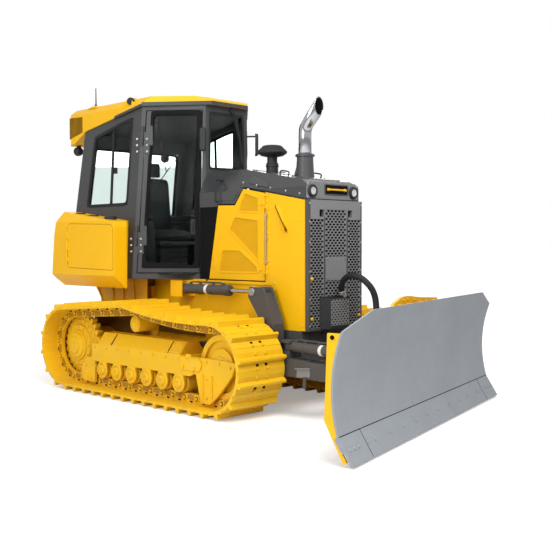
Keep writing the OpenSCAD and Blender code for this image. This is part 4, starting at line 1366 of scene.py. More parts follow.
@dataclass
class EngineSide(SidePart):
    """Door screens, hinges, latch, rib and bolts of one side of the engine cover."""

    face: float = 340.0
    screens: tuple[tuple[tuple[float, float], ...], ...] = (
        ((701, 1695), (955, 1680), (955, 1806), (782, 1858)),
        ((584, 1534), (955, 1254), (955, 1615), (651, 1650)),
        ((440, 1156), (950, 1162), (937, 1216), (715, 1356), (482, 1356)))
    bolts: Outline = ((1070, 1120), (1070, 1500), (1070, 1810), (1470, 730), (1470, 1000), (1470, 1300),
                      (1470, 1600), (1470, 1740), (1250, 730), (1150, 1070))
    rod_x: float = 1056.0
    hood: float = 338.0

    def build(self) -> None:
        """Builds the pieces of this side."""
        y, f, out = self.sign, self.face, self.out
        sheets, trim = Draft(), Draft()
        for outline in self.screens:
            sheets.side_plate(outline, y * (f - 6), y * (f - 2.5))
            ring_frame(trim, inset(outline, -8), 15, lambda u, v, d: at(u, y * d, v), f - 5, f + 4)
        body = f"engine_door_{self.side}"
        self.keep(sheets, f"door_screens_{self.side}", [SCREEN], "yellow_paint", body=body)
        latch = rounded([(352, 1190), (392, 1190), (400, 1290), (372, 1290)], 8)
        trim.side_plate(latch, y * (f - 2), y * (f + 5))
        trim.dome(at(960, y * f, 1170), out, 10)
        for z in (1130, 1300, 1560, 1790):
            trim.dome(at(985, y * f, z), out, 8)
        self.keep(trim, f"engine_door_trim_{self.side}", [YELLOW], "yellow_paint", 1.0, body=body)
        panel = Draft()
        rib = rounded([(1164, 1740), (1212, 1744), (1320, 1500), (1262, 1520)], 12)
        panel.side_plate(rib, y * (f - 2), y * (f + 10))
        panel.side_plate(inset(rib, 12), y * (f + 9), y * (f + 22))
        for x, z in self.bolts:
            panel.dome(at(x, y * f, z), out, 9)
        for z in (1180, 1740):
            panel.block((1046, y * (f - 1), z - 45), (1080, y * (f + 7), z + 45))
            for dz in (-25, 25):
                panel.bolt(at(1066, y * (f + 7), z + dz), out, 13, 6)
        self.keep(panel, f"side_panel_trim_{self.side}", [YELLOW], "yellow_paint", 2.0)
        rod = Draft()
        rod.rod(at(self.rod_x, y * (f + 12), 1238), at(self.rod_x, y * (f + 12), 1664), 7, 14)
        for z in (1250, 1450, 1652):
            rod.block((self.rod_x - 12, y * (f - 3), z - 12), (self.rod_x + 12, y * (f + 14), z + 12))
        self.keep(rod, f"door_hinge_rod_{self.side}", [STEEL], "rod_chrome", 1.5)
        hood = Draft()
        for x in (760, 930, 1100, 1280, 1440):
            hood.dome(at(x, y * self.hood, 1895 - 0.18 * (x - 1040)), out, 10, 2)
        raised = [(820, 2008), (1060, 1925), (1060, 1888), (806, 1940)]
        hood.plate(raised, lambda x, z, lift: at(x, y * (self.hood - 0.514 * (z - 1880) + lift), z), -4, 7)
        seam = [(770, 1903), (1040, 1858), (1500, 1775), (1500, 1780), (1040, 1863), (770, 1908)]
        hood.side_plate(seam, y * (self.hood - 2), y * (self.hood + 0.8), mark=1)
        self.keep(hood, f"hood_bolts_{self.side}", [DARK, SHADOW, STEEL], "dark_paint")


@dataclass
class HoodTop(SubAssembly):
    """Raised panels, bolts and hand holds on the sloping top of hood and cowl."""

    fall: float = 0.169
    rear_x: float = 690.0
    rear_z: float = 2070.0

    def build(self) -> None:
        """Builds the top's pieces."""
        draft = Draft()
        slope = Vector((self.fall, 0, 1)).normalized()

        def top(x: float, y: float, lift: float) -> Vector:
            """Point above the hood's sloping top."""
            return at(x, y, self.rear_z - self.fall * (x - self.rear_x)) + slope * lift * MM

        for x0, x1, half in ((1215, 1410, 215), (715, 775, 190), (960, 1040, 205)):
            draft.plate(rounded(oblong(x0, -half, x1, half), 20), top, -3, 5)
            for x, y in product((x0 + 16, x1 - 16), (16 - half, half - 16)):
                draft.dome(top(x, y, 5), slope, 8)
        for y in (-205, 205):
            loop = [top(x, y, lift) for x, lift in ((1090, -2), (1092, 34), (1180, 34), (1182, -2))]
            draft.sweep(smooth_path(loop, 5), 7, 10)
        draft.plate(oblong(694, -230, 699, 230), top, -4, 0.8, 1)
        cowl = rounded(oblong(230, -190, 620, 190), 26)
        draft.prism([at(x, y, 2070) for x, y in cowl], [at(x, y, 2082 - 0.024 * (x - 170) + 5) for x, y in cowl])
        self.keep(draft, "hood_top_trim", [DARK, SHADOW], "dark_paint", 1.5)


@dataclass
class CowlSide(SidePart):
    """Raised panel and seam on one side of the cowl."""

    def build(self) -> None:
        """Builds the panel of this side."""
        y = self.sign
        draft = Draft()
        panel = rounded([(470, 1800), (640, 1795), (700, 1872), (470, 1872)], 14)
        draft.side_plate(panel, y * 334, y * 342)
        for x, z in ((440, 1790), (560, 1778)):
            draft.dome(at(x, y * 338, z), self.out, 8)
        self.keep(draft, f"cowl_panel_{self.side}", [DARK], "dark_paint", 2.0)
        strip = Draft()
        strip.side_plate([(174, 1090), (290, 1090), (419, 1746), (174, 1746)], y * 330, y * 340)
        strip.side_plate([(262, 1090), (312, 1090), (441, 1746), (391, 1746)], y * 312, y * 324)
        for z in (1180, 1420, 1660):
            strip.side_plate([(236, z), (330, z), (334, z + 20), (240, z + 20)], y * 322, y * 332)
        self.keep(strip, f"cowl_strip_{self.side}", [SEAL], "hose_rubber", 2.0)


@dataclass
class RearDress(SubAssembly):
    """Rear panel, drawbar plate, bolts and tail lamps."""

    panel_x: float = -1371.0
    frame_x: float = -1335.0

    def build(self) -> None:
        """Builds the rear's pieces."""
        back = -AXIS_X
        panel = Draft()
        panel.plate(rounded(oblong(-520, 1170, 520, 1640), 40), on_front, self.panel_x + 8, self.panel_x)
        for k in range(7):
            z = 1300 + 40 * k
            panel.prism(*[[at(self.panel_x + d, y, h) for y, h in oblong(-330, z, 330, z + deep)]
                          for d, deep in ((1, 20), (-8, 6))])
        for y, z in product((-490, 490), (1200, 1610)):
            panel.bolt(at(self.panel_x, y, z), back, 16, 8, 1)
        self.keep(panel, "rear_panel", [CAB_DARK, STEEL], "dark_paint", 1.5)
        frame_bolts = Draft()
        for y, z in product((-300, -180, 180, 300), (430, 640, 780)):
            frame_bolts.bolt(at(self.frame_x, y, z), back, 26, 14)
        for y, z in product((-260, 260), (560, 760)):
            frame_bolts.lathe(at(self.frame_x, y, z), back, [(24, -1), (24, 3), (15, 4)], 24)
        frame_bolts.prism([at(-1340, y, z) for y, z in ((-130, 400), (130, 400), (90, 560), (-90, 560))],
                          [at(-1352, y, z) for y, z in ((-120, 408), (120, 408), (84, 552), (-84, 552))])
        self.keep(frame_bolts, "drawbar_bolts", [YELLOW], "yellow_paint", 1.5)
        lamps = Draft()
        for _, y in SIDES:
            for mark, faces in enumerate((((-1384, 0), (-1416, 4)), ((-1414, 12), (-1421, 16)))):
                lamps.prism(*[[at(x, y * t, z) for t, z in oblong(700 + m, 1400 + m, 800 - m, 1480 - m)]
                              for x, m in faces], mark)
        self.keep(lamps, "tail_lamps", [BLACK, TAIL], "lamp_plastic", 2.0)


@dataclass
class RoofTop(SubAssembly):
    """Raised panel and bolts on the roof."""

    def build(self) -> None:
        """Builds the roof's panel."""
        draft = Draft()
        panel = rounded([(-1430, -500), (-300, -500), (30, -230), (30, 230), (-300, 500), (-1430, 500)], 60)
        draft.prism([at(x, y, 2776) for x, y in panel], [at(x, y, 2788) for x, y in inset(panel, 8)])
        ring_frame(draft, rounded(oblong(-1380, -440, -760, 440), 50), 40, at, 2784, 2800)
        for x, y in product((-1340, -1070, -800), (-420, 420)):
            draft.dome(at(x, y, 2800), AXIS_Z, 9)
        self.keep(draft, "roof_panel", [YELLOW], "yellow_paint", 3.0)
        rail = Draft()
        plan = [(-700, -668), (-262, -668), (221, -225), (221, 225), (-262, 668), (-700, 668)]
        for (x0, y0), (x1, y1) in zip(plan, plan[1:]):
            run = Vector((x1 - x0, y1 - y0, 0)).normalized()
            out = Vector((run.y, -run.x, 0))
            top = 16 if abs(run.x) > 0.99 else 28
            ends = [(x0, y0, -8), (x1, y1, -8), (x1, y1, top), (x0, y0, top)]
            rail.prism(*[[at(x + out.x * d, y + out.y * d, roof_low(x) + h) for x, y, h in ends] for d in (-2, 4)])
        self.keep(rail, "roof_drip_rail", [CAB_DARK], "dark_paint", 1.0)


@dataclass
class FrameSide(SidePart):
    """Side plates of the main frame, rib under the fender box, plates in painted shade inside the track and dark
    skin at the front of one side.
    """

    def build(self) -> None:
        """Builds the plates of this side."""
        y = self.sign
        plates = Draft()
        plates.side_plate([(248, 686), (1235, 686), (1121, 1058), (248, 1058)], y * 320, y * 330)
        plates.side_plate(oblong(-525, 790, -115, 1084), y * 318, y * 333)
        # Lower plate in painted shade: dark brown yellow that stands for the shade under the carrier roller.
        plates.side_plate(oblong(-525, 560, 250, 790), y * 340, y * 352, mark=1)
        brow = [(-1300, 1085), (-1290, 985), (-1240, 930), (-1190, 860)]
        fender = [*brow, (-1190, 790), (-434, 790), (-420, 1085)]
        plates.side_plate(fender, y * 494, y * 506)
        # Inner part of the fender in painted shade: dark brown yellow for the shade inside the track loop.
        inner = [(-1190, 790), (-1332, 760), (-1332, 480), (-900, 440), (-520, 440), (-440, 700), (-434, 790)]
        plates.side_plate(inner, y * 494, y * 506, mark=1)
        rim = [*brow, (-1186, 790), (-1164, 790), (-1168, 866), (-1222, 942), (-1268, 1000), (-1278, 1085)]
        plates.side_plate(rim, y * 440, y * 516)
        for x in (-1000, -820, -640):
            plates.side_plate([(x, 700), (x + 16, 700), (x + 34, 900), (x + 10, 1080), (x - 60, 1080), (x, 900)],
                              y * 505, y * 522)
        self.keep(plates, f"frame_plates_{self.side}", [YELLOW, PAINTED_SHADE], "yellow_paint", 3.0)
        skin = Draft()
        skin.side_plate(oblong(900, 424, 1462, 688), y * 337, y * 342)
        skin.plate(oblong(0, 424, 342, 688), lambda t, z, x: at(x, y * t, z), 1459, 1466)
        for x in (960, 1120, 1280, 1430):
            skin.bolt(at(x, y * 342, 560), self.out, 20, 9)
        for t, z in product((90, 270), (460, 650)):
            skin.bolt(at(1466, y * t, z), AXIS_X, 20, 9)
        self.keep(skin, f"front_skin_{self.side}", [DARK], "dark_paint", 2.0)


@dataclass
class CabDoorDress(SidePart):
    """Seal, wiper, handle and hinge straps with bolts of one cab door."""

    def build(self) -> None:
        """Builds the pieces of this side's door."""
        place = on_door(self.sign)
        face = flat(place)
        body = f"cab_door_{self.side}"
        glass = [(post_lean(1330) + 94, 1226), (604, 1190), (640, 2622), (post_lean(2622) + 98, 2622)]
        seal = Draft()
        for width, low, high in ((24, 2, 16), (22, 24, 36)):
            ring_frame(seal, rounded(inset(glass, -4), 46), width, face, low, high)
        leaf = [(post_lean(1140) + 88, 1184), (636, 1184), (668, 2646), (post_lean(2650) + 88, 2646)]
        ring_between(seal, rounded(leaf, 20), rounded(inset(glass, 10), 64), face, -4, 4)
        self.keep(seal, f"door_seal_{self.side}", [SEAL], "hose_rubber", 2.0, body=body)
        metal = Draft()
        normal = (place(0, -1, 0) - place(0, 0, 0)).normalized()
        for z in HINGE_Z:
            lean = post_lean(z)
            metal.block((lean + 38, -6, z - 82), (lean + 92, 6, z + 82), place)
            for dz in HINGE_BOLTS:
                metal.bolt(place(lean + 68, -6, z + dz), normal, 17, 9, 1)
        self.keep(metal, f"door_hinge_straps_{self.side}", [CAB_DARK, STEEL], "dark_paint", 2.0, body=body)
        black = Draft()
        black.block((556, -10, 1500), (600, 5, 1640), place)
        grip = [place(578, d, z) for d, z in ((-8, 1530), (-32, 1545), (-34, 1600), (-8, 1618))]
        black.sweep(smooth_path(grip, 5), 7, 10)
        self.wiper(black, place, (post_lean(2560) + 150, 2555), (330, 2080), (240, 1960), (430, 2210))
        self.keep(black, f"door_fittings_{self.side}", [BLACK], "black_plastic", 1.5, body=body)

    @staticmethod
    def wiper(draft: Draft, place: Place, root: Point, knee: Point, low: Point, high: Point) -> None:
        """Adds a wiper arm with its motor cap and rubber blade on a door's plane.

        Args:
            draft: Piece that takes the wiper.
            place: The door's place function.
            root: Length and height of the arm's pivot.
            knee: Length and height where the arm holds the blade.
            low: One end of the blade.
            high: Other end of the blade.
        """
        draft.lathe(place(root[0], 4, root[1]), place(0, -1, 0) - place(0, 0, 0),
                    [(20, 0), (20, 16), (14, 22), (6, 24)], 20)
        face = flat(place)
        middle = ((root[0] + knee[0]) / 2, (root[1] + knee[1]) / 2)
        draft.sweep([face(*root, -16), face(*middle, -18), face(*knee, 2)], 5, 8)
        draft.sweep([face(*low, 6), face(*knee, 4), face(*high, 6)], 7, 8, squash=0.7)


@dataclass
class CabShell(SubAssembly):
    """Window seals, mullions, wipers, roof louvres, lamps, mirrors and aerial of the cab."""

    def build(self) -> None:
        """Builds the shell's pieces."""
        for side, sign in SIDES:
            self.side_window(side, sign)
            self.roof_side(side, sign)
            self.hinge_bolts(side, sign)
            self.mirror(side, sign)
        self.screens()
        self.lamps()

    def side_window(self, side: str, sign: int) -> None:
        """Adds the rear side window's seal, its upright bar and its latch."""
        outline = rounded([(-1160, 1780), (-470, 1780), (-415, 2600), (-560, 2580), (-1055, 2470)], 60)
        seal = Draft()

        def place(x: float, z: float, out: float) -> Vector:
            """Point on the leaning wall, a length off its face."""
            return at(x, sign * (side_y(z) + out), z)

        ring_frame(seal, inset(outline, -6), 30, place, -16, 3)
        bar = [(-768, 1790), (-738, 1790), (-724, 2535), (-754, 2530)]
        seal.plate(bar, place, -17, -4)
        seal.block((-720, sign * 660, 2090), (-668, sign * 672, 2150))
        self.keep(seal, f"side_window_seal_{side}", [RUBBER], "hose_rubber", 2.0)

    def roof_side(self, side: str, sign: int) -> None:
        """Adds the louvre on the roof's rear side and a row of roof bolts."""
        louvre = Draft()
        outline = [(-1500, 2486), (-1256, 2540), (-1256, 2692), (-1500, 2700)]
        louvre.side_plate(outline, sign * 664, sign * 668.8, mark=1)
        for k in range(12):
            x = -1496 + 21 * k
            foot = 2490 + (x + 1500) * 0.22
            slat = [(x, 667), (x + 11, 675), (x + 11, 671), (x, 665)]
            louvre.plate(slat, lambda u, v, z: at(u, sign * v, z), foot, 2694)
        self.keep(louvre, f"roof_louvre_{side}", [YELLOW, SHADOW], "yellow_paint", 0.6)
        bolts = Draft()
        for x in (-1150, -900, -640, -380):
            bolts.dome(at(x, sign * 668, 2690), AXIS_Y * sign, 9)
        self.keep(bolts, f"roof_bolts_{side}", [YELLOW], "yellow_paint")

    def hinge_bolts(self, side: str, sign: int) -> None:
        """Adds the fixed halves' bolts of the door hinges."""
        place = on_door(sign)
        normal = (place(0, -1, 0) - place(0, 0, 0)).normalized()
        bolts = Draft()
        for z, dz in product(HINGE_Z, HINGE_BOLTS):
            bolts.bolt(place(post_lean(z) - 24, -8, z + dz), normal, 17, 9)
        self.keep(bolts, f"post_hinge_bolts_{side}", [STEEL], "dark_paint")

    def mirror(self, side: str, sign: int) -> None:
        """Adds a rounded mirror with its glass and arm."""
        place = on_door(sign)
        face = flat(place)
        draft = Draft()
        shell = rounded([(658, 2262), (716, 2262), (720, 2300), (720, 2450), (712, 2478), (662, 2478), (656, 2450),
                         (656, 2300)], 16)
        draft.plate(shell, face, -80, -100)
        draft.prism([face(*p, -99) for p in shell], [face(*p, -112) for p in inset(shell, 9)])
        draft.plate(inset(shell, 5), face, -79, -82, 1)
        draft.sweep(smooth_path([place(690, -96, 2448), place(690, -60, 2450), place(690, 10, 2448)], 5), 8, 12)
        draft.lathe(place(690, -6, 2448), place(0, 1, 0) - place(0, 0, 0), [(18, 0), (18, 14), (12, 18)], 18)
        self.keep(draft, f"mirror_{side}", [BLACK, CHROME], "black_plastic", 2.0,
                  replaced=("mirrors",) if sign == RIGHT else ())

    def screens(self) -> None:
        """Adds the seals and wipers of windscreen and rear window."""
        rear_x: Callable[[float], float] = lambda z: -1365 + 0.165 * (z - 1700)
        seal = Draft()
        front = rounded([(-222, 2108), (222, 2108), (214, 2640), (-214, 2640)], 40)
        ring_frame(seal, inset(front, -5), 24, on_front, 154, 172.5)
        rear = rounded([(-560, 1700), (560, 1700), (540, 2390), (-540, 2390)], 60)
        ring_frame(seal, inset(rear, -6), 28, lambda u, v, d: at(rear_x(v) + d, u, v), -3, 16)
        self.keep(seal, "screen_seals", [RUBBER], "hose_rubber", 2.0)
        wipers = Draft()
        wipers.lathe(at(166, 60, 2672), AXIS_X, [(26, 0), (26, 16), (16, 26)], 20)
        for shift in (-11, 11):
            wipers.sweep([at(188, 60 + shift, 2672), at(192, 110 + shift, 2520), at(180, 160 + shift, 2400)], 5, 8)
        wipers.sweep([at(176, 118, 2640), at(178, 160, 2400), at(176, 206, 2150)], 8, 8, squash=0.7)
        wipers.sweep([at(186, 100, 2560), at(190, 150, 2420), at(182, 186, 2290)], 5, 8)
        foot = rear_x(2430)
        wipers.lathe(at(foot + 2, 0, 2425), -AXIS_X, [(20, 0), (20, 14), (12, 20)], 20)
        wipers.sweep([at(foot - 14, 0, 2425), at(rear_x(2200) - 14, 60, 2200), at(rear_x(2120) - 2, 80, 2120)],
                     5, 8)
        wipers.sweep([at(rear_x(z) - 3, y, z) for y, z in ((40, 2280), (80, 2120), (118, 1960))], 7, 8, squash=0.7)
        self.keep(wipers, "screen_wipers", [BLACK], "black_plastic")

    def lamps(self) -> None:
        """Adds the roof's work lamps, the rear lamps and the aerial."""
        shell, glass, pods = Draft(), Draft(), Draft()
        for _, sign in SIDES:
            y = sign * 640
            pods.prism(*[[at(x, y + w * sign, z) for x, w in oblong(*plan)]
                         for z, plan in ((2690, (-640, 28, -380, -70)), (2792, (-490, 16, -440, -44)))])
            foot, way = at(-452, y + 8 * sign, 2756), Vector((0.5, sign, 0))
            pods.lathe(foot, way, [(36, -20), (36, 22), (33, 28), (30, 22)], 32, 1)
            glass.lathe(foot + way.normalized() * 0.021, way, [(31, 0), (30, 3), (18, 6), (4, 7)], 32)
        for y in (-562, 562):
            shell.lathe(at(-1465, y, 2372), -AXIS_X, [(30, 0), (44, 18), (47, 56), (45, 64), (41, 58)], 36)
            shell.side_plate([(-1512, 2400), (-1480, 2400), (-1484, 2434), (-1508, 2434)], y - 16, y + 16)
            glass.lathe(at(-1524, y, 2372), -AXIS_X, [(42, 0), (41, 3), (26, 6), (5, 8)], 36)
        foot = at(-1140, -585, 2780)
        shell.lathe(foot, AXIS_Z, [(22, -4), (22, 8), (17, 18), (10, 26), (6.5, 40), (5.5, 80), (4.5, 190),
                                   (3, 195)], 20)
        pods.prism(*[[at(x, y, z) for x, y in oblong(*plan)]
                     for z, plan in ((2770, (-1230, -630, -1060, -540)), (2794, (-1180, -612, -1100, -558)))])
        self.keep(pods, "roof_lamp_pods", [YELLOW, BLACK], "yellow_paint", 4.0)
        self.keep(shell, "cab_lamp_shells", [BLACK], "lamp_plastic", replaced=("cab_lamps",))
        self.keep(glass, "cab_lamp_lenses", [LENS], "window_glass")


@dataclass
class CabInside(SubAssembly):
    """Seat, consoles, levers and screen inside the cab."""

    def build(self) -> None:
        """Builds the cab's inside."""
        self.seat()
        self.consoles()
        self.lining()

    def lining(self) -> None:
        """Adds the black head lining, rear trim and floor mat."""
        draft = Draft()
        wide, rear = side_y(2650) - 34, side_y(2530) - 34
        for plan in ([(-250, wide), (-1195, rear), (-1195, -rear), (-250, -wide)],
                     [(160, 205), (-285, wide), (-285, -wide), (160, -205)]):
            draft.plate(plan, lambda x, y, depth: at(x, y, roof_low(x) + depth), -30, -14)
        draft.block((-1312, -620, 1140), (-1290, 620, 1680))
        draft.block((-900, -560, 1129), (100, 560, 1138))
        for y in (-665, 665):
            draft.block((-1290, y - 8, 1140), (-420, y + 8, 1740))
        self.keep(draft, "cab_lining", [BLACK], "black_plastic", 3.0)

    @staticmethod
    def cushion(name: str, corners: Callable[[float, float, float], Vector], crown: float) -> bpy.types.Object:
        """Makes a crowned cushion with a welt seam.

        Args:
            name: Name of the object.
            corners: Function of two shares across and one share of thickness.
            crown: How far the faces bulge, as a share of the thickness.

        Returns:
            The cushion, which is closed and smooth.
        """
        n = 7
        draft = Draft()
        for face in (0.0, 1.0):
            verts = []
            for j in range(n):
                for i in range(n):
                    u, v = i / (n - 1), j / (n - 1)
                    bulge = (1 - (2 * u - 1) ** 4) * (1 - (2 * v - 1) ** 4)
                    tuck = 0.06 * math.exp(-((v - 0.5) * 9) ** 2) if face else 0.0
                    rise = (face * 2 - 1) * (0.30 + crown) * bulge
                    verts.append(corners(u, v, 0.30 + 0.40 * face + rise - tuck))
            quads = [(j * n + i, j * n + i + 1, (j + 1) * n + i + 1, (j + 1) * n + i)
                     for j in range(n - 1) for i in range(n - 1)]
            draft.add(verts, quads)
        rim = [i for i in range(n)] + [j * n + n - 1 for j in range(1, n)]
        rim += [(n - 1) * n + i for i in range(n - 2, -1, -1)] + [j * n for j in range(n - 2, 0, -1)]
        total = n * n
        draft.faces += [(a, b, total + b, total + a) for a, b in zip(rim, [*rim[1:], rim[0]])]
        draft.marks += [0] * len(rim)
        piece = draft.build(name, [CLOTH], crease=180)
        soft = piece.modifiers.new("soft_form", "SUBSURF")
        soft.levels = soft.render_levels = 2
        return piece

    def seat(self) -> None:
        """Adds cushions, head rest, arm rests and the seat's base."""
        crown = 0.10
        low = self.cushion("seat_cushion", lambda u, v, w: at(-1040 + 500 * v, -250 + 500 * u, 1425 + 125 * w),
                           crown)
        back = self.cushion("seat_back", lambda u, v, w: at(-1090 + 130 * w + (1 - v) * 60 - 20, -240 + 480 * u,
                                                            1545 + 555 * v), crown)
        head = self.cushion("seat_head_rest", lambda u, v, w: at(-1110 + 90 * w, -150 + 300 * u, 2110 + 150 * v),
                            crown)
        for piece in (low, back, head):
            self.settle(piece, "chassis", "seat_fabric", *(("operator_seat",) if piece is low else ()))
        base = Draft()
        base.block((-1000, -190, 1130), (-620, 190, 1160))
        for k in range(5):
            z = 1160 + 50 * k
            base.prism(*[[at(x, y, z + h) for x, y in oblong(m - 990, m - 180, -630 - m, 180 - m)]
                         for h, m in ((0, 0), (30, 20))])
            base.block((-985, -175, z + 26), (-635, 175, z + 52))
        base.block((-1030, -240, 1400), (-560, 240, 1440))
        for y in (-272, 272):
            base.side_plate(rounded([(-1010, 1640), (-680, 1640), (-660, 1680), (-680, 1710), (-1010, 1700)], 20),
                            y - 30, y + 30)
        for y in (-60, 60):
            base.rod(at(-1050, y, 2060), at(-1062, y, 2140), 8)
        self.keep(base, "seat_base", [BLACK], "black_plastic", 4.0)

    def consoles(self) -> None:
        """Adds front and side consoles with levers, screen and pedals."""
        draft = Draft()
        draft.side_plate(rounded([(-60, 1130), (90, 1130), (90, 1690), (40, 1700), (-60, 1600)], 24), -180, 180)
        for y in (-360, 360):
            draft.side_plate(rounded([(-1020, 1130), (-560, 1130), (-560, 1560), (-600, 1640), (-1020, 1600)], 30),
                             y - 60, y + 60)
            draft.lathe(at(-640, y, 1620), AXIS_Z, [(36, 0), (30, 20), (22, 40), (16, 50), (14, 100), (22, 118),
                                                    (26, 150), (20, 176), (8, 182)], 20)
            for x in (-900, -820, -740):
                draft.lathe(at(x, y, 1600), AXIS_Z, [(14, 0), (14, 20), (9, 24), (9, 40), (4, 42)], 14)
        draft.block((-70, -110, 1700), (-40, 110, 1860))
        draft.block((-72, -98, 1712), (-69, 98, 1848), mark=1)
        draft.rod(at(-40, 0, 1690), at(-52, 0, 1760), 14)
        for y in (-120, 120):
            draft.side_plate([(-260, 1130), (-150, 1230), (-140, 1222), (-240, 1130)], y - 45, y + 45)
        self.keep(draft, "cab_consoles", [BLACK, SHADOW], "black_plastic", 3.0, replaced=("control_console",))


@dataclass
class TankSide(SidePart):
    """Access door, hinge rod, bolts and cap of one fender box."""

    face: float = 930.0

    def build(self) -> None:
        """Builds the pieces of this side."""
        y, f, out = self.sign, self.face, self.out
        skin = Draft()
        door = [(-1128, 1186), (-372, 1172), (-372, 1556), (-392, 1590), (-1105, 1610), (-1150, 1540)]
        skin.side_plate(rounded(door, 24), y * (f - 2), y * (f + 2.5))
        for x, z in ((-410, 1210), (-410, 1540), (-760, 1580), (-1060, 1580)):
            skin.dome(at(x, y * (f + 4), z), out, 10)
        skin.rod(at(-1151, y * (f + 8), 1207), at(-1140, y * (f + 8), 1531), 9, 14)
        for z in (1260, 1370, 1480):
            skin.block((-1168, y * (f - 1), z - 20), (-1112, y * (f + 14), z + 20))
            skin.dome(at(-1124, y * (f + 14), z), out, 7)
        self.keep(skin, f"tank_door_{self.side}", [YELLOW], "yellow_paint", 1.5)
        trim = Draft()
        ring_frame(trim, rounded(inset(door, -5), 28), 6, lambda u, v, d: at(u, y * d, v), f - 3, f + 0.6)
        self.keep(trim, f"tank_door_seam_{self.side}", [SEAM], "yellow_paint")
        step = Draft()
        for k in range(2):
            x = -1210 + 230 * k
            step.block((x, y * 770, 1700 - (x + 1275) * 0.123), (x + 150, y * 850, 1706 - (x + 1275) * 0.123 + 22))
        cap = at(-560, y * 820, 1640)
        step.lathe(cap, AXIS_Z, [(58, 0), (58, 26), (50, 34), (20, 38)], 28)
        self.keep(step, f"tank_step_pads_{self.side}", [BLACK], "black_plastic", 2.0)


@dataclass
class BladeDress(SubAssembly):
    """Bolts of the cutting edge, holes and welds of the blade."""

    half: float = BLADE_HALF
    eye_z: float = 820.0

    def edge_point(self, down: float, off: float, across: float) -> Vector:
        """Point on the cutting edge's face, counted down from the seam and off its front."""
        return on_blade(EDGE_AHEAD + EDGE_RUN * down + EDGE_NORMAL[0] * off / EDGE_THICK, across,
                        EDGE_Z - EDGE_DROP * down + EDGE_NORMAL[1] * off / EDGE_THICK)

    def build(self) -> None:
        """Builds the blade's details."""
        normal = (self.edge_point(0, 20, 0) - self.edge_point(0, 0, 0)).normalized()
        bolts = Draft()
        row = [end * across for end in (-1, 1) for across in (1470, 1405, 1340, 1190, 1085)]
        for across in (*row, *range(-840, 841, 240)):
            bolts.dome(self.edge_point(100, 0, across), normal, 17)
        seams = [[(2, t - 3), (2, t + 3), (200, t + 3), (200, t - 3)] for t in (300 - self.half, self.half - 300)]
        seams.append([(-5, 4 - self.half), (-5, self.half - 4), (4, self.half - 4), (4, 4 - self.half)])
        for ring in seams:
            bolts.plate(ring, flat(self.edge_point), -3, 0.6, 1)
        self.keep(bolts, "edge_bolts", [BLADE, SHADOW], "blade_paint", body="blade")
        self.back()

    def back(self) -> None:
        """Adds eyes in the end plates, nuts behind the edge and stiffening straps."""
        trim = Draft()
        axis = on_blade(0, 1, 0) - on_blade(0, 0, 0)
        for end in (-1, 1):
            for across, way in ((end * 1523, end), (end * 1503, -end)):
                foot = on_blade(88, across, self.eye_z)
                trim.lathe(foot, axis * way, [(24, -1), (24, 3), (17, 4)], 24)
                trim.lathe(foot, axis * way, [(16, -1), (16, 4.6)], 24, 1)
        back_way = on_blade(-1, 0, 0) - on_blade(0, 0, 0)
        for p, k in product(range(3), range(6)):
            trim.bolt(on_blade(136, -1150 + 767 * p + 135 * k, 140), back_way, 24, 18)
        brace = [(-240, 900), (-205, 950), (-60, 988), (60, 995), (120, 992), (330, 971), (720, 949), (760, 900)]
        trim.plate(brace, lambda t, z, ahead: on_blade(ahead, t, z), -78, -50)
        for t, z in ((-20, 986), (60, 988), (200, 978), (460, 958)):
            trim.bolt(on_blade(-50, t, z - 22), -back_way, 16, 8)
        for t in (-150, 40, 300, 600):
            trim.plate([(-56, 900), (30, 900), (30, 930), (-56, 944)], flat(on_blade), t, t + 14)
        self.keep(trim, "blade_trim", [YELLOW, SHADOW], "yellow_paint", 1.0, body="blade")


@dataclass
class PushFrameDress(SubAssembly):
    """Pivot caps, tower pins and steps of the push frame."""

    side: float = 508.0
    pin: Point = (1049.0, 1005.0)

    def build(self) -> None:
        """Builds the push frame's pieces."""
        draft, pins = Draft(), Draft()
        x, z = self.pin
        for _, y in SIDES:
            out = AXIS_Y * y
            draft.lathe(at(350, y * 378, 450), -out, [(78, -2), (78, 8), (60, 12), (20, 13)], 32)
            for face, way in ((self.side, 1), (392, -1)):
                pins.lathe(at(x, y * face, z), out * way, [(34, -2), (34, 10), (30, 14), (8, 15)], 28)
                pins.bolt(at(x + 16, y * face, z + 44), out * way, 12, 6)
            for stud in range(620, 1680, 210):
                draft.dome(at(stud, y * self.side, 420), out, 11)
            draft.side_plate(oblong(1390, 471, 1700, 476), y * 400, y * 490)
            for k in range(9):
                draft.block((1402 + 33 * k, y * 404, 475), (1412 + 33 * k, y * 486, 481))
            draft.side_plate([(1570, 336), (1716, 350), (1716, 416), (1576, 404)], y * 506, y * 516, mark=1)
            draft.side_plate([(1560, 400), (1722, 416), (1722, 426), (1560, 410)], y * 506, y * 527, mark=1)
            draft.side_plate([(1640, 256), (1668, 256), (1676, 352), (1644, 348)], y * 506, y * 518)
        self.keep(draft, "push_frame_trim", [DARK, MESH], "dark_paint", 2.0, body="push_frame")
        self.keep(pins, "tower_pins", [STEEL], "rod_chrome", 1.0, body="push_frame")
        yoke = Draft()
        yoke.lathe(at(BLADE_PIVOT_X, 0, 620), AXIS_Z, [(66, -2), (66, 8), (50, 12), (12, 13)], 32)
        for c, s in circle(4, 40, 0.785):
            yoke.bolt(at(BLADE_PIVOT_X + c, s, 631), AXIS_Z, 14, 7)
        self.keep(yoke, "yoke_cap", [DARK], "dark_paint", 1.5, body="yoke")


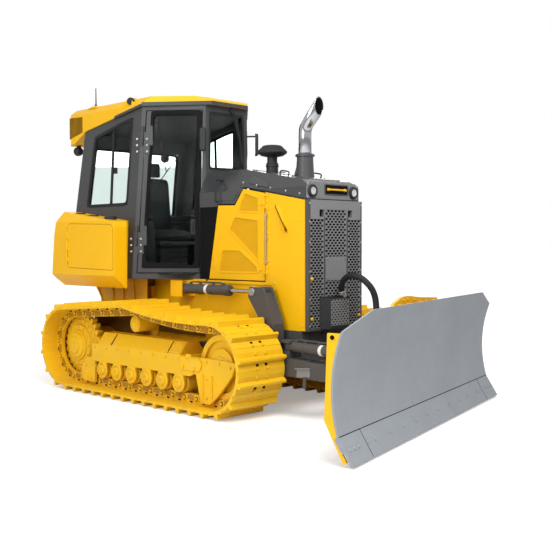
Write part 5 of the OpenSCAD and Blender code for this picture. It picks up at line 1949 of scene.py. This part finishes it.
@dataclass
class CylinderDress(SubAssembly):
    """Gland, band, ports and oil pipe of one hydraulic cylinder."""

    name: str
    body: str
    base: Vector
    eye: Vector
    length: float
    radius: float
    rod: float
    band: float = 0.0
    gland: Outline = ((-4, 0), (6, 0), (6, 16), (2, 18), (2, 22), (6, 24), (6, 44), (-4, 50.5))
    ports: tuple[float, float] = (0.17, 0.86)
    straps: tuple[float, float] = (0.38, 0.66)

    def build(self) -> None:
        """Builds the cylinder's fittings along its axis."""
        axis = (self.eye - self.base).normalized()
        up = (AXIS_Z - axis * AXIS_Z.dot(axis)).normalized()
        far = self.base + axis * self.length * MM
        r = self.radius
        draft = Draft()
        bore = self.rod + 2
        gland = [(r + more, h) for more, h in self.gland]
        draft.lathe(far - axis * 0.05, axis, [*gland, (bore, 50.5), (bore, 48)], 32, hollow=True)
        for share in self.ports:
            foot = self.base + axis * self.length * share * MM + up * (r - 2) * MM
            draft.lathe(foot, up, [(17, 0), (17, 12), (11, 13), (11, 22)], 18)
        lift = up * (r + 20) * MM
        stops = (self.ports[0], 0.24, 0.5, 0.8, self.ports[1])
        line = [self.base + axis * self.length * s * MM + lift for s in stops]
        line[0] -= up * 0.008
        line[-1] -= up * 0.008
        draft.sweep(smooth_path(line, 5), 7, 10)
        for share in self.straps:
            foot = self.base + axis * self.length * share * MM
            strap = [(r - 3, 0), (r + 3, 0), (r + 3, 18), (r - 3, 18)]
            draft.lathe(foot - axis * 0.009, axis, strap, 32, hollow=True)
            draft.prism(*[[foot + axis * a * MM + up * h * MM + axis.cross(up) * w * MM
                           for a, w in oblong(-8, -10, 8, 10)] for h in (r, r + 22)])
        if self.band:
            foot = self.base + axis * self.length * self.band * MM
            draft.lathe(foot, axis, [(r - 3, 0), (r + 1.2, 0), (r + 1.2, 34), (r - 3, 34)], 32, 1, hollow=True)
        self.keep(draft, self.name, [DARK, WHITE], "dark_paint", 1.0, body=self.body)


def cylinder_set() -> list[CylinderDress]:
    """Fittings of the five cylinders in their rest pose."""
    made = []
    for side, y in SIDES:
        made.append(CylinderDress(f"lift_fittings_{side}", f"lift_cylinder_{side}", at(60, y * 450, 1000),
                                  at(1049, y * 450, 1005), 650, 44, 20, 0.52))
        made.append(CylinderDress(f"angle_fittings_{side}", f"angle_cylinder_{side}", at(1420, y * 443, 570),
                                  on_blade(-30, y * 550, 570), ANGLE_BARREL, 42, 20, 0.7))
    made.append(CylinderDress("tilt_fittings", "tilt_cylinder", on_blade(-15, -60, 745), on_blade(-15, 520, 745),
                              TILT_BARREL, 34, 16))
    return made


@dataclass
class Studio:
    """Camera, light and floor."""

    camera_at: tuple[float, float, float] = (6431.9, -5591.8, 1407.9)
    azimuth: float = math.radians(45.0726)
    pitch: float = math.radians(2.0842)
    roll: float = math.radians(-0.1701)
    lens: float = 57.40
    lights: tuple[tuple[str, tuple[float, float, float], float, float], ...] = (
        ("key_light", (5.0, -2.5, 7.0), 4.5, 540), ("side_light", (1.5, -7.5, 4.5), 5.0, 300),
        ("rear_light", (-5.5, 4.5, 5.0), 5.0, 230))
    floor_half: float = 90.0
    floor_tone: float = 0.86
    floor_glow: tuple[float, float, float, float] = (3.0, 9.0, 0.28, 0.75)
    sky: float = 0.38

    def build(self) -> None:
        """Builds the whole studio."""
        self.camera()
        self.floor()
        self.world()
        for light in self.lights:
            self.light(*light)

    def camera(self) -> None:
        """Puts the camera where the photo was taken from."""
        ca, sa, cp, sp = (f(a) for a in (self.azimuth, self.pitch) for f in (math.cos, math.sin))
        right, ahead = Vector((ca, sa, 0)), Vector((-sa * cp, ca * cp, -sp))
        up = right.cross(ahead)
        c, s = math.cos(self.roll), math.sin(self.roll)
        x, y = right * c + up * s, up * c - right * s
        data = bpy.data.cameras.new("photo_camera")
        data.lens = self.lens
        data.clip_end = 300
        camera = new_object("photo_camera", data)
        turn = Matrix((x, y, -ahead)).transposed().to_4x4()
        camera.matrix_world = Matrix.Translation(at(*self.camera_at)) @ turn
        bpy.context.scene.camera = camera
        bpy.context.scene.view_settings.view_transform = "Standard"

    def floor(self) -> None:
        """Lays the pale floor."""
        draft = Draft()
        corners = oblong(-self.floor_half, -self.floor_half, self.floor_half, self.floor_half)
        draft.add([Vector((x, y, -0.0005)) for x, y in corners], [range(4)])
        made, work, shader = new_material("studio_floor")
        seen = work.node("ShaderNodeLightPath").outputs["Is Camera Ray"]
        reach = work.node("ShaderNodeVectorMath", {0: work.here()}, operation="LENGTH").outputs["Value"]
        glow = work.math("MULTIPLY", seen, work.spread(reach, *self.floor_glow))
        work.put(shader, {"Base Color": (*[self.floor_tone] * 3, 1), "Roughness": 0.9,
                          "Emission Color": (1, 1, 1, 1), "Emission Strength": glow})
        floor = new_object("studio_floor", draft.mesh("studio_floor"))
        floor.data.materials.append(made)

    def world(self) -> None:
        """Sets an even pale surrounding that shows as white."""
        world = bpy.data.worlds.new("studio")
        bpy.context.scene.world = world
        world.use_nodes = True
        work = Tree(world.node_tree)
        path = work.node("ShaderNodeLightPath").outputs
        shown = work.math("ADD", path["Is Camera Ray"], path["Is Transmission Ray"], clamp=True)
        shown = work.math("ADD", shown, work.math("MULTIPLY", path["Is Glossy Ray"], 0.5), clamp=True)
        work.put(world.node_tree.nodes["Background"],
                 {"Color": (1, 1, 1, 1), "Strength": work.spread(shown, 0.0, 1.0, self.sky)})

    @staticmethod
    def light(name: str, place: tuple[float, float, float], size: float, power: float) -> None:
        """Adds a soft lamp that looks at the machine's middle."""
        data = bpy.data.lights.new(name, "AREA")
        data.size = size
        data.energy = power
        lamp = new_object(name, data)
        lamp.location = place
        lamp.rotation_euler = (Vector((0, 0, 1.0)) - Vector(place)).to_track_quat("-Z", "Y").to_euler()


def machine() -> list[SubAssembly]:
    """All sub-assemblies in the order in which they are built."""
    made: list[SubAssembly] = [BladeHose(), Exhaust(), PreCleaner(), Nose(), HoodTop(), RearDress(), RoofTop(),
                               CabShell(), CabInside(), BladeDress(), PushFrameDress(), *cylinder_set()]
    kinds = (TrackDress, RollerFrameDress, FrameSide, EngineSide, CowlSide, CabDoorDress, TankSide)
    return made + [kind(side, sign) for side, sign in SIDES for kind in kinds]


def main() -> None:
    """Builds the studio and the machine's looks."""
    logging.basicConfig(level=logging.INFO, format="%(name)s %(message)s")
    Studio().build()
    dress_cad()
    for part in machine():
        part.build()


if __name__ == "__main__":
    main()
